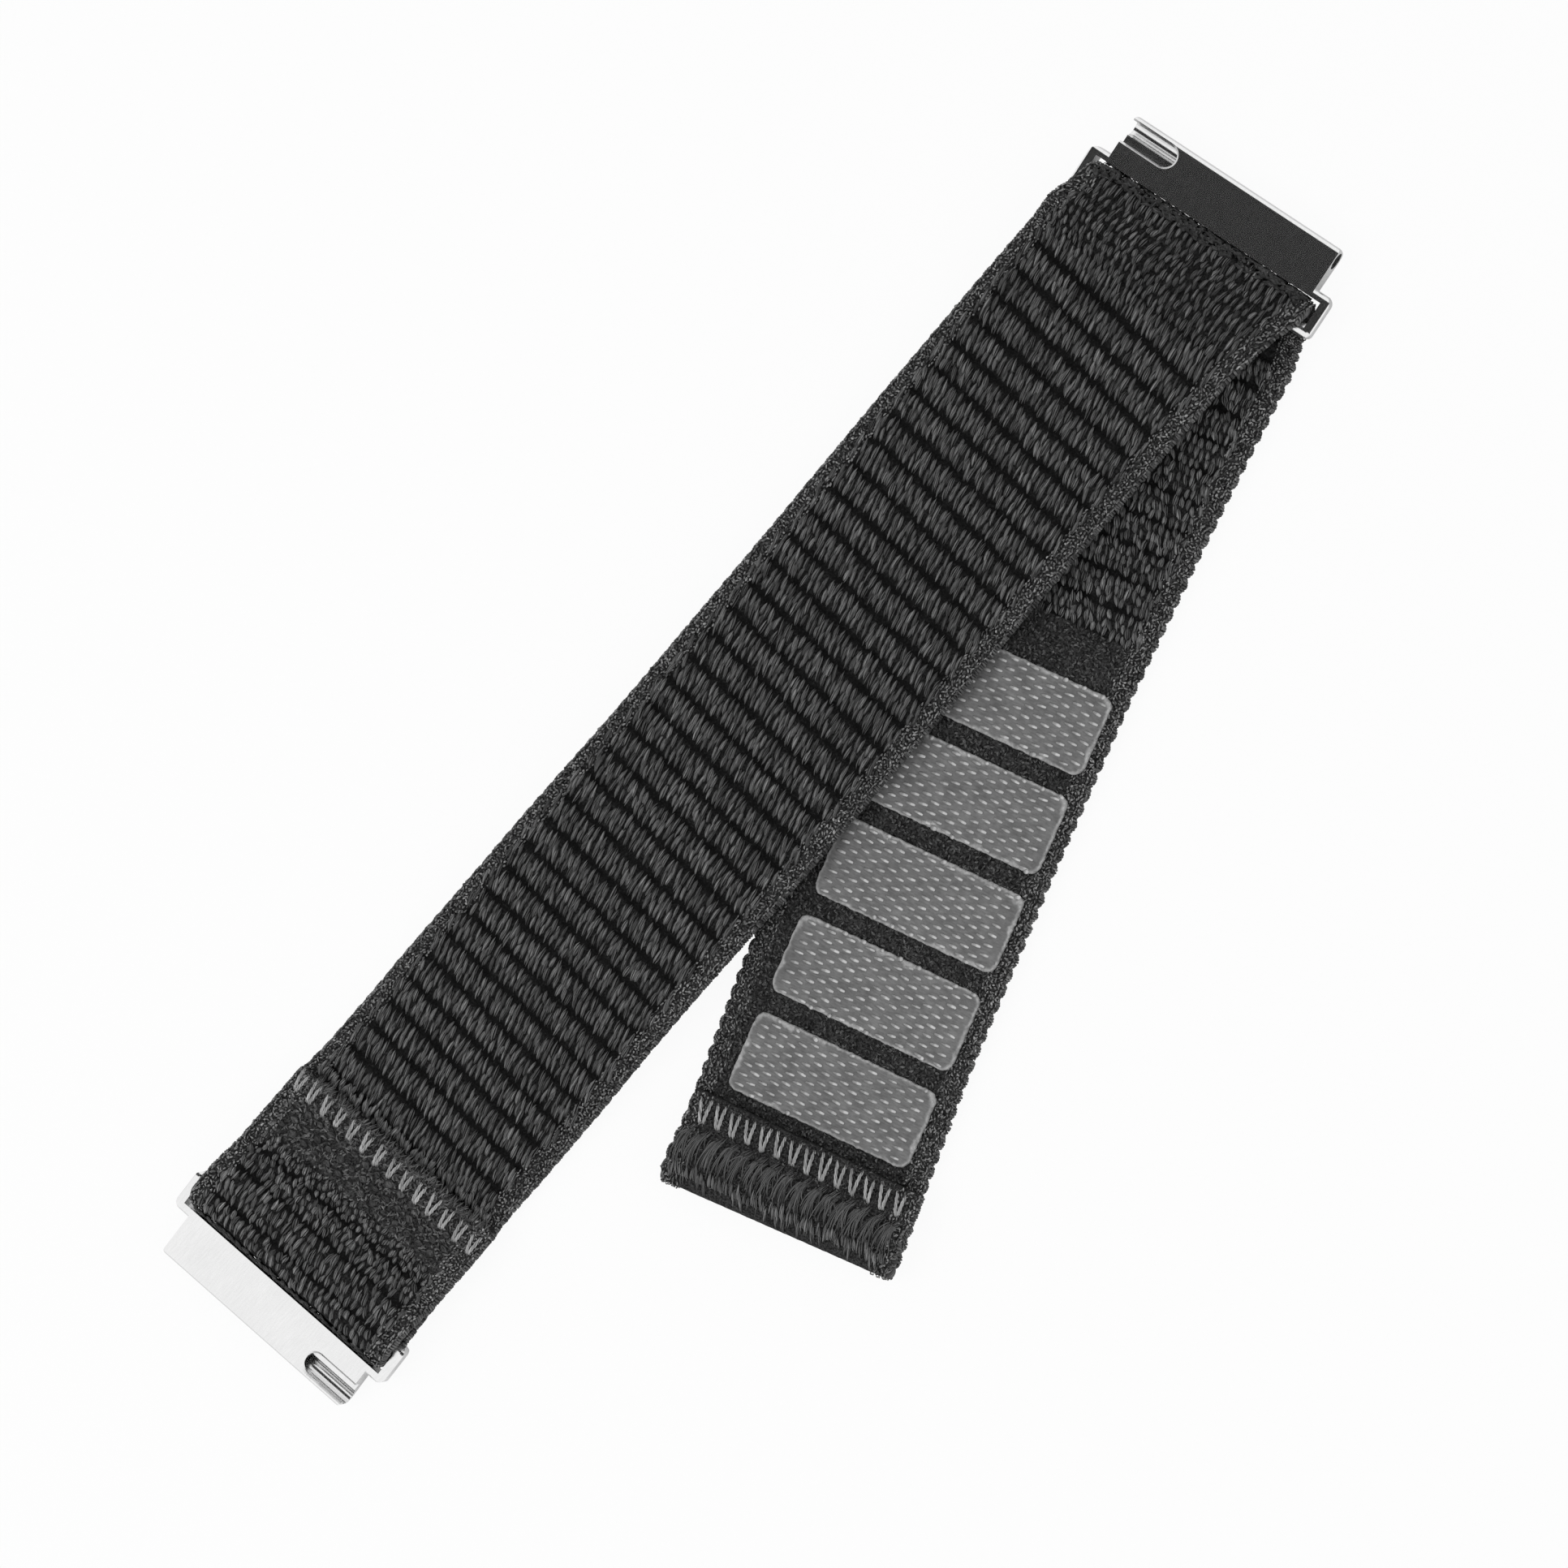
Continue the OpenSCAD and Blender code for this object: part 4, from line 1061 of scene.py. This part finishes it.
def sheet(name, half, centre, material):
    """A flat square for the floor or a studio card."""
    x, y, z = centre
    verts = [(x + a * half, y + b * half, z) for a, b in ((-1, -1), (1, -1), (1, 1), (-1, 1))]
    mesh = bpy.data.meshes.new(name)
    mesh.from_pydata(verts, [], [(0, 1, 2, 3)])
    mesh.materials.append(material)
    obj = add_object(name, mesh)
    return obj


def studio():
    """Pale floor, white background for the camera, soft lamps and a dark card over the buckle's end. The
    camera sees mostly through the floor, so that its shadow stays faint and a tail peeled down past it
    shows."""
    world = bpy.data.worlds.new("studio")
    scene.world = world
    sky = Nodes(world)
    rays = sky.node("ShaderNodeLightPath").outputs
    seen = sky.maths("MAXIMUM", rays["Is Camera Ray"], rays["Is Glossy Ray"])
    seen = sky.maths("MAXIMUM", seen, rays["Is Transmission Ray"])
    level = sky.node("ShaderNodeMapRange", {"Value": seen, "To Min": WORLD_LEVEL, "To Max": 1.0})
    back = sky.tree.nodes["Background"]
    sky.put(back.inputs["Color"], 1)
    sky.put(back.inputs["Strength"], level.outputs[0])

    floor = Look("pale_floor", Base_Color=0.9, Roughness=0.9)
    share = floor.maths("MULTIPLY", floor.node("ShaderNodeLightPath").outputs["Is Camera Ray"], FLOOR_CLEAR)
    clear = floor.node("ShaderNodeBsdfTransparent").outputs[0]
    mix = floor.node("ShaderNodeMixShader", {0: share, 1: floor.shader.outputs[0], 2: clear})
    floor.put(floor.tree.nodes["Material Output"].inputs["Surface"], mix.outputs[0])
    sheet("floor", 2.0, (0, 0, -0.00002), floor.owner)

    dark = Look("dark_card", Base_Color=0.01, Roughness=0.9)
    card = sheet("card", CARD_HALF, CARD_AT, dark.owner)
    for kind in ("camera", "diffuse", "transmission", "volume_scatter"):
        setattr(card, "visible_" + kind, False)
    soft_light("key", (-0.2, 0.16, 0.5), 0.35, 0.75)
    soft_light("fill", (0.35, -0.3, 0.5), 0.5, 0.45)
    scene.view_settings.view_transform = "Standard"


camera()
studio()
fabric()
for number in range(1, 6):
    hook_pad(number)
seam("fixed_end_seam", STITCH_INSET, -2.1, (0.72, -0.05), -1, "band", "fixed_end_stitch", 0.1, -0.045)
seam("pull_tab_seam", END - STITCH_INSET, 2.3, (0.88, 0.0), 1, "tail", "pull_tab_stitch")
tab_tufts()
steel_parts()
